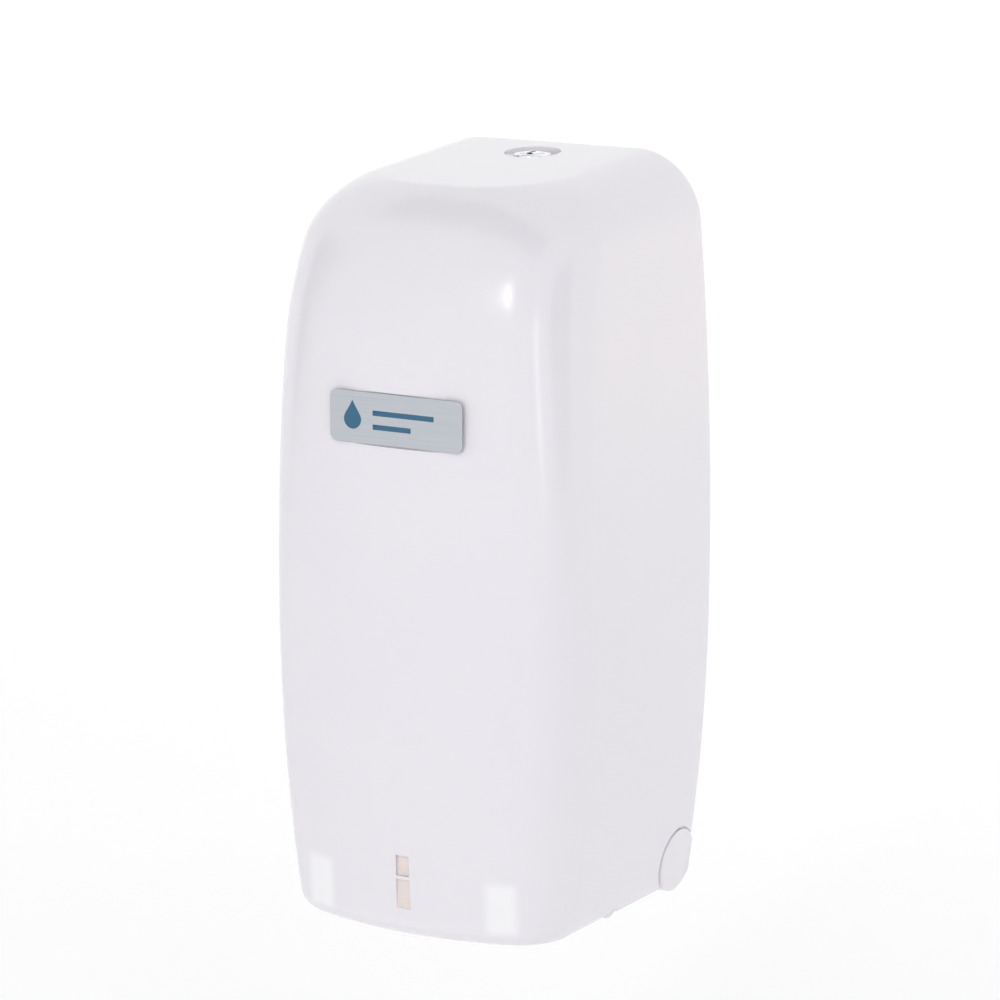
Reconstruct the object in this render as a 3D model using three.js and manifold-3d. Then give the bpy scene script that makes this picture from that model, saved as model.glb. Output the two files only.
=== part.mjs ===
// Wall mounted, touch-free soap dispenser: a one-piece white cover hinged at its lower rear corners,
// and behind it a refillable tank, a peristaltic pump with its gear train, four cells and a sensor.
// Millimetres, +Z up, +X to the right of a person who faces it, -Y out of the wall.
import * as THREE from "three";
import { mergeVertices } from "three/addons/utils/BufferGeometryUtils.js";
import Module from "manifold-3d";

const wasm = await Module();
wasm.setup();

// ---- Casing: "up" is the height above the cover's lower rim, "out" the distance from the wall
const height = 265;
const halfWidth = 61.8;
const widestUp = 130;
const rimNarrowing = 9.6;
const rimTaper = 2.34;
const topNarrowing = 7.1;
const topTaper = 1.96;
const depth = 112;
const deepestUp = 166;
const rimSetback = 4.8;
const topSetback = 28.5;
const crownSetback = 4.48;
const rollHeight = 60;
const rollFullness = 0.96;
const topSlope = 0.07;
const topRadius = 23;
const rimRadius = 7.1;
const cornerRadiusLow = 17;
const cornerRadiusHigh = 30;
const bowAngle = 0.3;
const coverWall = 2.4;
const wallGap = 0.6;

// ---- Clearances shared by everything that fits into something else
const gap = 0.3;
const slideFit = 0.4;
const pinFit = 0.2;
const swingClearance = 1.8;
const overcut = 1;

// ---- Hinge, lock and wall plate
const hingeOut = 10;
const hingeUp = 12;
const earRadius = 11.5;
const earThickness = 7.5;
const earProud = 0.6;
const earNotchGap = 0.8;
const hingePinRadius = 2.2;
const lugThickness = 4.6;
const lugRadius = 6.5;
const lugArm = 24;
const straightSideDepth = 51;
const rearRimRise = 3;
const plateThickness = 3;
const plateLow = 4;
const plateTopGap = 9;
const plateRim = 5;
const plateRimWall = 2;
const screwSlotWidth = 5;
const screwSlotLength = 9;
const screwSlotSpacing = 56;
const screwHoleRadius = 1.5;
const lockOut = 19.3;
const lockRecessRadius = 10;
const lockRecessDepth = 1.4;
const lockBossRadius = 12;
const lockBossDrop = 3.6;
const lockBarrelRadius = 5;
const lockBarrelLength = 15;
const lockPlugRadius = 3.2;
const lockFlangeWidth = 1.6;
const lockFlangeHeight = 1;
const lockNutRadius = 8;
const lockNutThickness = 3;
const lockTangRadius = 2;
const keywayWidth = 1.2;
const keywayLength = 4.4;
const keywayDepth = 4;
const seatGap = 0.1;
const camLength = 14;
const camWidth = 7;
const camThickness = 2;

// ---- Badge and indicator window on the front of the cover
const badgeUp = 182;
const badgeWidth = 52;
const badgeHeight = 19.6;
const badgeThickness = 0.8;
const badgeRecess = 0.5;
const badgeCorner = 2.6;
const slotUp = 20.5;
const slotWidth = 5.2;
const slotHeight = 19;
const slotBridge = 1.2;
const slotBridgeRise = 1.52;

// ---- Base tray and chassis
const trayLow = 4;
const trayHigh = 32;
const trayWall = 2;
const trayFloor = 2.5;
const trayRearHalf = 39;
const trayRearDepth = 46;
const windowHalf = 12;
const windowDeep = 9;
const windowAhead = 6;
const chassisWall = 2;
const chassisLow = 20;
const deckTop = 97;
const deckThickness = 3;
const panelOut = 84;
const panelThickness = 2;

// ---- Pump and gear train, on shafts that run straight out from the wall
const spoutOut = 72;
const spoutRadius = 6;
const spoutBore = 1.6;
const spoutFlange = 2.5;
const spoutBarb = 12;
const rotorX = -18.5;
const rotorUp = 58;
const raceRadius = 20.6;
const raceWall = 2;
const pumpDepth = 15.4;
const pumpBack = 2;
const pumpCoverThickness = 1.6;
const rollerRadius = 4;
const rollerLength = 9;
const rollerCount = 3;
const rollerPinRadius = 1.5;
const rotorDisc = 2;
const tubeRadius = 2.5;
const rollerRoom = 0.6;
const rollerOrbit = raceRadius - 2 * tubeRadius - rollerRadius - rollerRoom;
const pumpSideRoom = 1.9;
const chassisHalf = raceRadius + raceWall + pumpSideRoom + chassisWall - rotorX;
const tubeBend = 6;
const shaftRadius = 2;
const gearModule = 1;
const outputTeeth = 32;
const pinionTeeth = 8;
const idlerTeeth = 24;
const idlerBearing = -1.22;
const motorBearing = 3.49;
const gearboxOut = 42;
const gearboxWall = 2;
const gearWidth = 4;
const motorRadius = 12;
const motorLength = 27;
const idlerShaftRadius = 1.5;
const motorShaftRadius = 1.2;

// ---- Battery box for four AA cells
const cellRadius = 7.25;
const cellLength = 50.5;
const cellPitch = 15;
const batteryWall = 1.5;
const batterySideGap = 0.2;
const batteryX = chassisHalf - chassisWall - batterySideGap - batteryWall - gap - cellPitch;
const doorThickness = 2;
const doorLap = 2;
const doorTravel = 7;
const railWidth = 1.6;

// ---- Tank
const tankGap = 8;
const tankWall = 2;
const tankBack = 12;
const tankTopGap = 40;
const neckRadius = 17;
const neckHeight = 7;
const neckOut = 48;
const capSkirt = 6;
const capTop = 2.5;
const capWall = 1.6;
const capRibs = 12;
const capRibRadius = 0.7;
const spigotRadius = 6;
const spigotLength = 9;
const sealThickness = 1.6;

// ---- Controls
const boardUp = 12;
const boardThickness = 1.6;
const boardHalf = 34;
const boardDepth = 20;
const controlUp = 24;
const buttonX = -28;
const buttonRadius = 3;
const switchX = 26;
const switchTravel = 4;
const knobSize = 4;

// ---- Solids: closed meshes joined and cut
function solid(geometry) {
  const bare = geometry.index ? geometry.toNonIndexed() : geometry.clone();
  bare.deleteAttribute("normal");
  bare.deleteAttribute("uv");
  const merged = mergeVertices(bare, 1e-4);
  return new wasm.Manifold(
    new wasm.Mesh({
      numProp: 3,
      vertProperties: new Float32Array(merged.attributes.position.array),
      triVerts: new Uint32Array(merged.index.array),
    }),
  );
}

function join(first, ...others) {
  return others.reduce((sum, other) => sum.add(other), first);
}

function cut(first, ...others) {
  return others.reduce((rest, other) => rest.subtract(other), first);
}

function geometryOf(shape) {
  const mesh = shape.getMesh();
  const geometry = new THREE.BufferGeometry();
  geometry.setAttribute("position", new THREE.BufferAttribute(mesh.vertProperties, 3));
  geometry.setIndex(new THREE.BufferAttribute(mesh.triVerts, 1));
  const flat = geometry.toNonIndexed();
  flat.computeVertexNormals();
  return flat;
}

// A block between two places across, out from the wall and up.
function block([left, right], [near, far], [low, high]) {
  const box = new THREE.BoxGeometry(right - left, far - near, high - low);
  return solid(box.translate((left + right) / 2, -(near + far) / 2, (low + high) / 2));
}

// A round bar from its start, along +X, out from the wall, or up.
function bar(radius, length, direction, [x, out, up], sides = 20) {
  const cylinder = new THREE.CylinderGeometry(radius, radius, length, sides);
  cylinder.translate(0, length / 2, 0);
  if (direction === "across") cylinder.rotateZ(-Math.PI / 2);
  if (direction === "out") cylinder.rotateZ(Math.PI);
  if (direction === "up") cylinder.rotateX(Math.PI / 2);
  return solid(cylinder.translate(x, -out, up));
}

// A turned piece: its profile gives radius and distance along the axis, in order up the outside.
function turned(profile, direction, [x, out, up], sides = 24) {
  const lathe = new THREE.LatheGeometry(profile.map(([r, along]) => new THREE.Vector2(r, along)), sides);
  if (direction === "out") lathe.rotateZ(Math.PI);
  if (direction === "up") lathe.rotateX(Math.PI / 2);
  return solid(lathe.translate(x, -out, up));
}

// A flat plate with rounded corners, facing out from the wall.
function roundedPlate(width, tall, corner, thickness, [x, out, up]) {
  const shape = new THREE.Shape();
  const [w, h] = [width / 2, tall / 2];
  shape.moveTo(-w + corner, -h);
  shape.lineTo(w - corner, -h);
  shape.absarc(w - corner, -h + corner, corner, -Math.PI / 2, 0);
  shape.lineTo(w, h - corner);
  shape.absarc(w - corner, h - corner, corner, 0, Math.PI / 2);
  shape.lineTo(-w + corner, h);
  shape.absarc(-w + corner, h - corner, corner, Math.PI / 2, Math.PI);
  shape.lineTo(-w, -h + corner);
  shape.absarc(-w + corner, -h + corner, corner, Math.PI, 1.5 * Math.PI);
  const plate = new THREE.ExtrudeGeometry(shape, { depth: thickness, bevelEnabled: false, curveSegments: 4 });
  return solid(plate.rotateX(Math.PI / 2).translate(x, -out, up));
}

// ---- The casing's form, as formulas that the cover, tray, pads and tank all share
function quarterRound(share) {
  const held = Math.min(Math.max(share, 0), 1);
  return 1 - Math.sqrt(1 - held * held);
}

function halfWidthAt(up, inset, roundRim = true) {
  const below = Math.max(widestUp - up, 0) / widestUp;
  const above = Math.max(up - widestUp, 0) / (height - widestUp);
  const barrel = halfWidth - rimNarrowing * below ** rimTaper - topNarrowing * above ** topTaper;
  const topBend = (topRadius - inset) * quarterRound((up - height + topRadius) / (topRadius - inset));
  const rimBend = (rimRadius - inset) * quarterRound((rimRadius - up) / (rimRadius - inset));
  return barrel - inset - topBend - (roundRim ? Math.max(rimBend, 0) : 0);
}

function depthAt(up, inset, roundRim = true) {
  const below = Math.max(deepestUp - up, 0) / deepestUp;
  const above = Math.max(up - deepestUp, 0) / (height - deepestUp);
  const bulge = depth - rimSetback * below ** 2 - crownSetback * above ** 2;
  const roll = Math.min(Math.max((up - height + rollHeight) / (rollHeight - inset), 0), 1);
  const rollShare = (1 - Math.sqrt(1 - rollFullness * roll * roll)) / (1 - Math.sqrt(1 - rollFullness));
  const rolledBack = (topSetback - crownSetback) * rollShare;
  const rimBend = (rimRadius - inset) * quarterRound((rimRadius - up) / (rimRadius - inset));
  return bulge - inset - rolledBack - (roundRim ? Math.max(rimBend, 0) : 0);
}

function cornerRadiusAt(up) {
  const share = Math.min(Math.max(up / height, 0), 1);
  return cornerRadiusLow + (cornerRadiusHigh - cornerRadiusLow) * share;
}

// One plan section, from the left rear corner round the front to the right rear corner.
function planSection(up, inset, back, steps) {
  const half = halfWidthAt(up, inset);
  const deep = depthAt(up, inset);
  const radius = cornerRadiusAt(up) - inset;
  const flatHalf = half - radius * (1 - Math.sin(bowAngle));
  const bow = flatHalf * Math.tan(bowAngle) / 2;
  const cornerOut = deep - bow - radius * Math.cos(bowAngle);
  const right = [[halfWidthAt(up, inset, false), back]];
  right.push([halfWidthAt(up, inset, false), Math.min(straightSideDepth, cornerOut - 2 * overcut)]);
  right.push([half, Math.min(straightSideDepth + overcut, cornerOut - overcut)]);
  for (let step = 0; step <= steps; step += 1) {
    const angle = (Math.PI / 2 - bowAngle) * (step / steps);
    right.push([half - radius * (1 - Math.cos(angle)), cornerOut + radius * Math.sin(angle)]);
  }
  for (let step = 1; step < steps / 2; step += 1) {
    const x = flatHalf * (1 - (2 * step) / steps);
    right.push([x, deep - bow * (x / flatHalf) ** 2]);
  }
  const left = right.map(([x, out]) => [-x, out]);
  return [...left, [0, deep], ...right.reverse()];
}

// Skins a stack of plan sections into one closed body, with a flat cap at each end.
function stackSections(levels, inset, back, steps) {
  const positions = [];
  const rings = levels.map((up) => planSection(up, inset, back, steps).map(([x, out]) => {
    const slope = topSlope * out * (Math.max(up, 0) / height) ** 4;
    return new THREE.Vector3(x, -out, up - slope);
  }));
  const triangle = (...corners) => corners.forEach((corner) => positions.push(...corner.toArray()));
  for (let level = 0; level < rings.length - 1; level += 1) {
    rings[level].forEach((corner, index) => {
      const next = (index + 1) % rings[level].length;
      triangle(corner, rings[level][next], rings[level + 1][next]);
      triangle(corner, rings[level + 1][next], rings[level + 1][index]);
    });
  }
  const bottom = rings[0];
  const top = rings.at(-1);
  const outline = bottom.map((corner) => new THREE.Vector2(corner.x, corner.y));
  THREE.ShapeUtils.triangulateShape(outline, []).forEach(([a, b, c]) => {
    triangle(bottom[c], bottom[b], bottom[a]);
    triangle(top[a], top[b], top[c]);
  });
  const geometry = new THREE.BufferGeometry();
  geometry.setAttribute("position", new THREE.Float32BufferAttribute(positions, 3));
  return solid(geometry);
}

// Levels from low to high: closer together in the rim's bend and in the rolled top.
function levelsBetween(low, high, inset) {
  const levels = [low];
  for (let step = 1; step <= 3; step += 1) levels.push(inset + (rimRadius - inset) * (step / 3));
  for (let step = 1; step <= 6; step += 1) {
    levels.push(rimRadius + (height - rollHeight - rimRadius) * (step / 6));
  }
  for (let step = 1; step < 9; step += 1) {
    const share = Math.sin((Math.PI / 2) * (step / 9));
    levels.push(height - rollHeight + (rollHeight - inset) * share);
  }
  return [low, ...levels.filter((up) => up > low + 0.05 && up < high - 0.05), high];
}

function casingSolid(inset, low, high, back, steps = 6) {
  return stackSections(levelsBetween(low, high, inset), inset, back, steps);
}

// ---- Cover and what is fixed to it
function makeCover() {
  let body = casingSolid(0, 0, height, wallGap);
  body = cut(body, casingSolid(coverWall, -overcut, height - coverWall, -overcut));
  const lockUp = height - topSlope * lockOut;
  const boss = bar(lockBossRadius, lockBossDrop, "up",
    [0, lockOut, lockUp - coverWall - lockBossDrop + gap]);
  const earSweep = bar(earRadius + earNotchGap, 4 * halfWidth, "across",
    [-2 * halfWidth, hingeOut, hingeUp], 40);
  const rearRim = block([-2 * halfWidth, 2 * halfWidth], [-overcut, straightSideDepth + overcut],
    [-overcut, rearRimRise]);
  const rearCorner = block([-2 * halfWidth, 2 * halfWidth], [-overcut, hingeOut], [-overcut, hingeUp]);
  body = cut(join(body, boss), earSweep, rearRim, rearCorner);
  body = cut(
    join(body, ...[-1, 1].map(hingeLug)),
    bar(lockRecessRadius, coverWall, "up", [0, lockOut, lockUp - lockRecessDepth], 32),
    bar(lockBarrelRadius + pinFit, 4 * coverWall + lockBossDrop, "up",
      [0, lockOut, lockUp - 3 * coverWall - lockBossDrop]),
    badgePocket(),
    ...slotSegments().map(([low, high]) =>
      block([-slotWidth / 2, slotWidth / 2], [frontInnerOut() - 2 * coverWall, depth + overcut],
        [low, high])),
  );
  return body;
}

// The lug that turns on one hinge pin, on an arm that reaches the side wall ahead of the ear.
function hingeLug(side) {
  const inner = lugInner();
  const lugX = side > 0 ? inner : -inner - lugThickness;
  const across = (from, to) => (side > 0 ? [from, to] : [-to, -from]);
  const armFar = hingeOut + lugArm;
  const hub = bar(lugRadius, lugThickness, "across", [lugX, hingeOut, hingeUp]);
  const arm = block(across(inner, inner + lugThickness), [hingeOut, armFar],
    [hingeUp - lugRadius, hingeUp + lugRadius]);
  const foot = block(across(inner, halfWidthAt(hingeUp - lugRadius, coverWall / 2, false)),
    [hingeOut + earRadius + swingClearance, armFar], [hingeUp - lugRadius, hingeUp + lugRadius]);
  const hole = bar(hingePinRadius + pinFit, lugThickness + 2 * overcut, "across",
    [lugX - overcut, hingeOut, hingeUp]);
  return cut(join(hub, arm, foot), hole);
}

function lugInner() {
  return earInner() - gap - lugThickness;
}

function earInner() {
  return halfWidthAt(hingeUp, 0, false) - earThickness;
}

function badgePocket() {
  return roundedPlate(badgeWidth + 2 * slideFit, badgeHeight + 2 * slideFit, badgeCorner + slideFit, depth,
    [0, badgeSeatOut(), badgeUp]);
}

// The badge lies flat, so its seat is cut as deep as the bowed front falls away at its ends.
function badgeSeatOut() {
  const edge = planSection(badgeUp, 0, wallGap, 6).find(([x]) => Math.abs(x) < badgeWidth / 2);
  return edge[1] - badgeRecess;
}

function makeBadge() {
  return roundedPlate(badgeWidth, badgeHeight, badgeCorner, badgeThickness,
    [0, badgeSeatOut() + seatGap, badgeUp]);
}

function slotSegments() {
  const split = slotUp + slotBridgeRise;
  return [
    [slotUp - slotHeight / 2, split - slotBridge / 2],
    [split + slotBridge / 2, slotUp + slotHeight / 2],
  ];
}

// ---- Lock: housing and nut in the cover, plug and cam turning in them, strike on the wall plate
function lockTopUp() {
  return height - topSlope * lockOut - lockRecessDepth;
}

function camUp() {
  return lockTopUp() - lockBarrelLength - gap - camThickness;
}

function makeLockHousing() {
  const bore = lockPlugRadius + pinFit;
  const flange = lockBarrelRadius + lockFlangeWidth;
  return turned([[bore, -lockBarrelLength], [lockBarrelRadius, -lockBarrelLength],
    [lockBarrelRadius, seatGap], [flange, seatGap], [flange, lockFlangeHeight], [bore, lockFlangeHeight],
    [bore, -lockBarrelLength]],
  "up", [0, lockOut, lockTopUp()]);
}

function makeLockNut() {
  const under = lockTopUp() + lockRecessDepth - coverWall - lockBossDrop;
  const nut = bar(lockNutRadius, lockNutThickness, "up", [0, lockOut, under - lockNutThickness], 6);
  return cut(nut, bar(lockBarrelRadius + pinFit, lockNutThickness + 2 * overcut, "up",
    [0, lockOut, under - lockNutThickness - overcut]));
}

function makeLockPlug() {
  const plug = bar(lockPlugRadius, lockBarrelLength + 1.4 + gap, "up",
    [0, lockOut, camUp() + camThickness]);
  const tang = bar(lockTangRadius, camThickness + 1.2, "up", [0, lockOut, camUp() - 1.2], 6);
  const keyway = block([-keywayWidth / 2, keywayWidth / 2],
    [lockOut - keywayLength / 2, lockOut + keywayLength / 2],
    [lockTopUp() - keywayDepth, lockTopUp() + 3 * overcut]);
  return cut(join(plug, tang), keyway);
}

// The cam points at the wall when the lock is open, and turns a quarter to pass behind the strike.
function makeLockCam() {
  const arm = block([-camWidth / 2, camWidth / 2], [lockOut - camLength, lockOut],
    [camUp(), camUp() + camThickness - seatGap]);
  const eye = bar(camWidth / 2, camThickness - seatGap, "up", [0, lockOut, camUp()]);
  const hole = bar(lockTangRadius + pinFit, 2 * camThickness, "up", [0, lockOut, camUp() - overcut], 6);
  return cut(join(arm, eye), hole);
}

function makeLockStrike() {
  const low = camUp() - 4;
  const hookNear = lockOut + camWidth / 2 + swingClearance;
  const arm = block([-camLength - 4, -camLength - 2], [plateThickness + gap, hookNear + 2],
    [low, camUp() + camThickness + 4]);
  const hook = block([-camLength - 4, -camWidth], [hookNear, hookNear + 2],
    [low, camUp() + camThickness + 4]);
  const foot = block([-camLength - 4, -camLength + 6], [plateThickness + gap, plateThickness + 2],
    [low - 6, low + 2]);
  return join(arm, hook, foot);
}

// ---- Wall plate with its hinge ears
function makeWallPlate() {
  const high = height - plateTopGap;
  const inset = coverWall + swingClearance;
  const plateForm = casingSolid(inset, plateLow, high, 0, 4);
  const slab = block([-2 * halfWidth, 2 * halfWidth], [0, plateThickness], [0, height]);
  const edge = block([-2 * halfWidth, 2 * halfWidth], [0, plateThickness + plateRim], [0, height]);
  const hollow = casingSolid(inset + plateRimWall, plateLow + plateRimWall, high - plateRimWall, -overcut, 4);
  const rim = cut(plateForm.intersect(edge), hollow);
  const rimRelief = block([-2 * halfWidth, 2 * halfWidth], [plateThickness, depth],
    [0, hingeUp + earRadius + lugArm]);
  let plate = join(plateForm.intersect(slab), cut(rim, rimRelief));
  const ears = [-1, 1].map((side) => {
    const far = halfWidth * side;
    const near = earInner() * side;
    const disc = bar(earRadius, Math.abs(far - near), "across",
      [Math.min(near, far), hingeOut, hingeUp], 36);
    return disc.intersect(block([-2 * halfWidth, 2 * halfWidth], [0, depth], [0, height]));
  });
  const earForm = casingSolid(-earProud, -overcut, 2 * hingeUp + earRadius, -overcut, 4);
  const pinBore = bar(hingePinRadius + pinFit, 2 * earInner() + 2 * earThickness - 4, "across",
    [-earInner() - earThickness + 2, hingeOut, hingeUp]);
  plate = join(plate, ...ears.map((ear) => ear.intersect(earForm)));
  const slots = [];
  for (const x of [-screwSlotSpacing / 2, screwSlotSpacing / 2]) {
    for (const up of [deckTop + 2 * screwSlotLength, height - plateTopGap - 2 * screwSlotLength]) {
      slots.push(block([x - screwSlotWidth / 2, x + screwSlotWidth / 2], [-overcut, 2 * plateThickness],
        [up - screwSlotLength / 2, up + screwSlotLength / 2]));
    }
  }
  const chassisHoles = chassisScrewPlaces().map(([x, up]) =>
    bar(screwHoleRadius, plateThickness + 2 * overcut, "out", [x, -overcut, up], 12));
  return cut(plate, pinBore, ...slots, ...chassisHoles);
}

function makeHingePin(side) {
  const length = lugThickness + gap + earThickness - 3;
  const start = side > 0 ? lugInner() : -lugInner() - length;
  return bar(hingePinRadius, length, "across", [start, hingeOut, hingeUp]);
}

function chassisScrewPlaces() {
  return [[-chassisHalf + 10, deckTop - 10], [chassisHalf - 10, deckTop - 10]];
}

// ---- Base tray, which closes the underside
function makeTray() {
  const inset = coverWall + swingClearance;
  const back = plateThickness + gap;
  const outer = casingSolid(inset, trayLow, trayHigh, back, 6);
  const inner = casingSolid(inset + trayWall, trayLow + trayFloor, trayHigh + overcut, back + trayWall, 6);
  const rearCorners = [-1, 1].map((side) => {
    const ends = [side * trayRearHalf, side * 2 * halfWidth].sort((a, b) => a - b);
    return block(ends, [0, trayRearDepth], [0, 2 * trayHigh]);
  });
  const sideWalls = [-1, 1].map((side) => {
    const ends = [side * (trayRearHalf - trayWall), side * trayRearHalf].sort((a, b) => a - b);
    return block(ends, [back, trayRearDepth + trayWall], [trayLow, chassisLow - gap]);
  });
  const steps = [-1, 1].map((side) => {
    const ends = [side * (trayRearHalf - trayWall), side * halfWidth].sort((a, b) => a - b);
    return outer.intersect(block(ends, [trayRearDepth, trayRearDepth + trayWall], [0, chassisLow - gap]));
  });
  const lensNotch = block([-lensHalf() - slideFit, lensHalf() + slideFit],
    [frontInnerOut() - 3 * trayWall - swingClearance, depth],
      [slotSegments()[0][0] - 1, trayHigh + overcut]);
  const chassisRoom = block([-chassisHalf - gap, chassisHalf + gap],
    [0, panelOut + panelThickness + doorThickness], [chassisLow - gap, 2 * trayHigh]);
  const spoutHole = bar(spoutRadius + pinFit, 4 * trayFloor, "up", [0, spoutOut, trayLow - trayFloor]);
  const windowHole = block([-windowHalf - gap, windowHalf + gap], windowDepth(gap),
    [trayLow - overcut, trayLow + trayFloor + overcut]);
  return cut(
    join(cut(outer, inner, ...rearCorners), ...sideWalls, ...steps),
    chassisRoom, lensNotch, spoutHole, windowHole,
  );
}

function frontInnerOut() {
  return depthAt(slotUp, coverWall);
}

function lensHalf() {
  return slotWidth / 2 + 0.6;
}

function windowDepth(margin) {
  const near = spoutOut + spoutRadius + windowAhead;
  return [near - margin, near + windowDeep + margin];
}

function makeSensorWindow() {
  const [near, far] = windowDepth(0);
  return block([-windowHalf, windowHalf], [near, far], [trayLow, trayLow + trayFloor]);
}

function makeCornerPad(side) {
  const outer = casingSolid(coverWall + slideFit, trayLow, trayHigh, plateThickness, 6);
  const inner = casingSolid(coverWall + swingClearance - gap, trayLow - overcut, trayHigh + overcut,
    -overcut, 6);
  const ends = [side * halfWidth * 0.42, side * 2 * halfWidth].sort((a, b) => a - b);
  const corner = block(ends, [depthAt(0, 0) * 0.86, depth], [trayLow + 2, trayLow + 20]);
  return cut(outer, inner).intersect(corner);
}

// ---- Chassis: a box without front or floor, whose top is the deck that the tank stands on
function makeChassis() {
  const back = plateThickness + gap;
  const high = deckTop - deckThickness;
  const outer = block([-chassisHalf, chassisHalf], [back, panelOut], [chassisLow, deckTop]);
  const inner = block([-chassisHalf + chassisWall, chassisHalf - chassisWall],
    [back + chassisWall, panelOut + overcut], [chassisLow - overcut, high]);
  const socket = bar(socketRadius() + 2, socketDepth() + 2, "up",
    [0, spoutOut, deckTop - socketDepth() - 2]);
  const socketBore = bar(socketRadius(), socketDepth() + overcut, "up",
    [0, spoutOut, deckTop - socketDepth()]);
  const outlet = bar(tubeRadius + pinFit, 3 * overcut + 2, "up",
    [0, spoutOut, deckTop - socketDepth() - 2 - overcut]);
  const holes = chassisScrewPlaces().map(([x, up]) => bar(1.8, 8 * overcut, "out", [x, 0, up], 12));
  const earRelief = [-1, 1].map((side) => {
    const ends = [side * (earInner() - gap), side * 2 * halfWidth].sort((a, b) => a - b);
    return bar(earRadius + gap, ends[1] - ends[0], "across", [ends[0], hingeOut, hingeUp], 36);
  });
  return cut(
    join(cut(outer, inner), socket),
    socketBore, outlet, ...holes, ...earRelief,
  );
}

function socketRadius() {
  return spigotRadius + sealThickness + 0.1;
}

function socketDepth() {
  return spigotLength + 1;
}

function makeChassisScrew([x, up]) {
  const headSeat = plateThickness + gap + chassisWall + 0.1;
  const head = bar(3, 2, "out", [x, headSeat, up], 16);
  const shank = bar(1.2, headSeat - 0.4, "out", [x, 0.5, up], 12);
  const driveSlot = block([x - 2, x + 2], [headSeat + 1.2, headSeat + 3], [up - 0.4, up + 0.4]);
  return cut(join(head, shank), driveSlot);
}

// ---- Front panel with the pump opening, the battery opening and the controls
function doorHalf() {
  return cellPitch + doorLap;
}

function batteryLow() {
  return chassisLow + 8.4;
}

function doorSpan() {
  return [batteryLow() + batteryWall - doorLap, batteryLow() + cellLength + 2 * batteryWall + doorLap];
}

function makeFrontPanel() {
  const far = panelOut + panelThickness;
  const face = block([-chassisHalf, chassisHalf], [panelOut + gap, far], [chassisLow, deckTop - gap]);
  const pumpHalf = raceRadius + raceWall + slideFit;
  const pumpOpening = block([rotorX - pumpHalf, rotorX + pumpHalf], [panelOut - overcut, far + overcut],
    [rotorUp - pumpHalf, rotorUp + pumpHalf]);
  const batteryOpening = block([batteryX - cellPitch, batteryX + cellPitch],
    [panelOut - overcut, far + overcut],
    [doorSpan()[0] + doorLap, doorSpan()[1] - doorLap]);
  const rails = [-1, 1].map((side) => {
    const inner = batteryX + side * (doorHalf() + slideFit);
    const ends = [inner, inner + side * railWidth].sort((a, b) => a - b);
    const lip = [inner - side * 1.4, inner + side * railWidth].sort((a, b) => a - b);
    const [low, high] = [doorSpan()[0], doorSpan()[1] - doorTravel];
    return join(
      block(ends, [far - 0.1, far + doorThickness + 2 * slideFit + 1], [low, high]),
      block(lip, [far + doorThickness + 2 * slideFit, far + doorThickness + 2 * slideFit + 1], [low, high]),
    );
  });
  const buttonHole = bar(buttonRadius + slideFit, 4 * panelThickness, "out",
    [buttonX, panelOut - 2, controlUp]);
  const switchHole = block([switchX - knobSize / 2 - switchTravel / 2 - slideFit,
    switchX + knobSize / 2 + switchTravel / 2 + slideFit], [panelOut - overcut, far + overcut],
  [controlUp - knobSize / 2 - slideFit, controlUp + knobSize / 2 + slideFit]);
  return cut(join(face, ...rails), pumpOpening, batteryOpening, buttonHole, switchHole);
}

// ---- Battery box, cells, contacts and door
function makeBatteryBox() {
  const inner = cellPitch + gap;
  const outer = inner + batteryWall;
  const far = panelOut - gap;
  const low = batteryLow();
  const high = low + cellLength + 2 * batteryWall + 2.4;
  const box = block([batteryX - outer, batteryX + outer], [far - 2 * inner - batteryWall, far],
    [low, high]);
  const room = block([batteryX - inner, batteryX + inner], [far - 2 * inner, far + overcut],
    [low + batteryWall, high - batteryWall]);
  return cut(box, room);
}

function cellPlaces() {
  const places = [];
  for (const x of [-cellPitch / 2, cellPitch / 2]) {
    for (const back of [-cellPitch / 2, cellPitch / 2]) {
      places.push([batteryX + x, panelOut - gap - cellPitch - gap + back]);
    }
  }
  return places;
}

function makeCell([x, out], nippleUp) {
  const low = batteryLow() + batteryWall + 1.1;
  const profile = [[0, 0], [cellRadius, 0], [cellRadius, cellLength - 1.2], [2.7, cellLength - 1.2],
    [2.7, cellLength], [0, cellLength]];
  const cell = turned(profile, "up", [0, 0, 0], 20);
  const place = new THREE.Vector3(x, -out, nippleUp ? low : low + cellLength);
  return nippleUp
    ? cell.translate(place.toArray())
    : cell.rotate([180, 0, 0]).translate(place.toArray());
}

// A top strap joins a front cell to the one behind it, and the bottom bridge joins the front two.
function makeTopContact(side) {
  const centre = batteryX + side * cellPitch / 2;
  const far = panelOut - 2 * gap;
  const low = batteryLow() + batteryWall + cellLength + 1.4;
  return block([centre - 5, centre + 5], [far - 2 * cellPitch + 2, far - 2], [low, low + 0.6]);
}

function makeBottomBridge() {
  const far = panelOut - 2 * gap;
  const low = batteryLow() + batteryWall + gap;
  return block([batteryX - cellPitch + 2, batteryX + cellPitch - 2], [far - cellPitch + 2, far - 2],
    [low, low + 0.6]);
}

function makeBatteryDoor() {
  const near = panelOut + panelThickness + slideFit;
  const [low, high] = doorSpan();
  const leaf = block([batteryX - doorHalf(), batteryX + doorHalf()], [near, near + doorThickness],
    [low, high]);
  const grips = [0, 1, 2, 3].map((row) =>
    block([batteryX - 8, batteryX + 8], [near + doorThickness - 0.1, near + doorThickness + 0.7],
      [high - 10 - row * 2.4, high - 9 - row * 2.4]));
  return join(leaf, ...grips);
}

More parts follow.
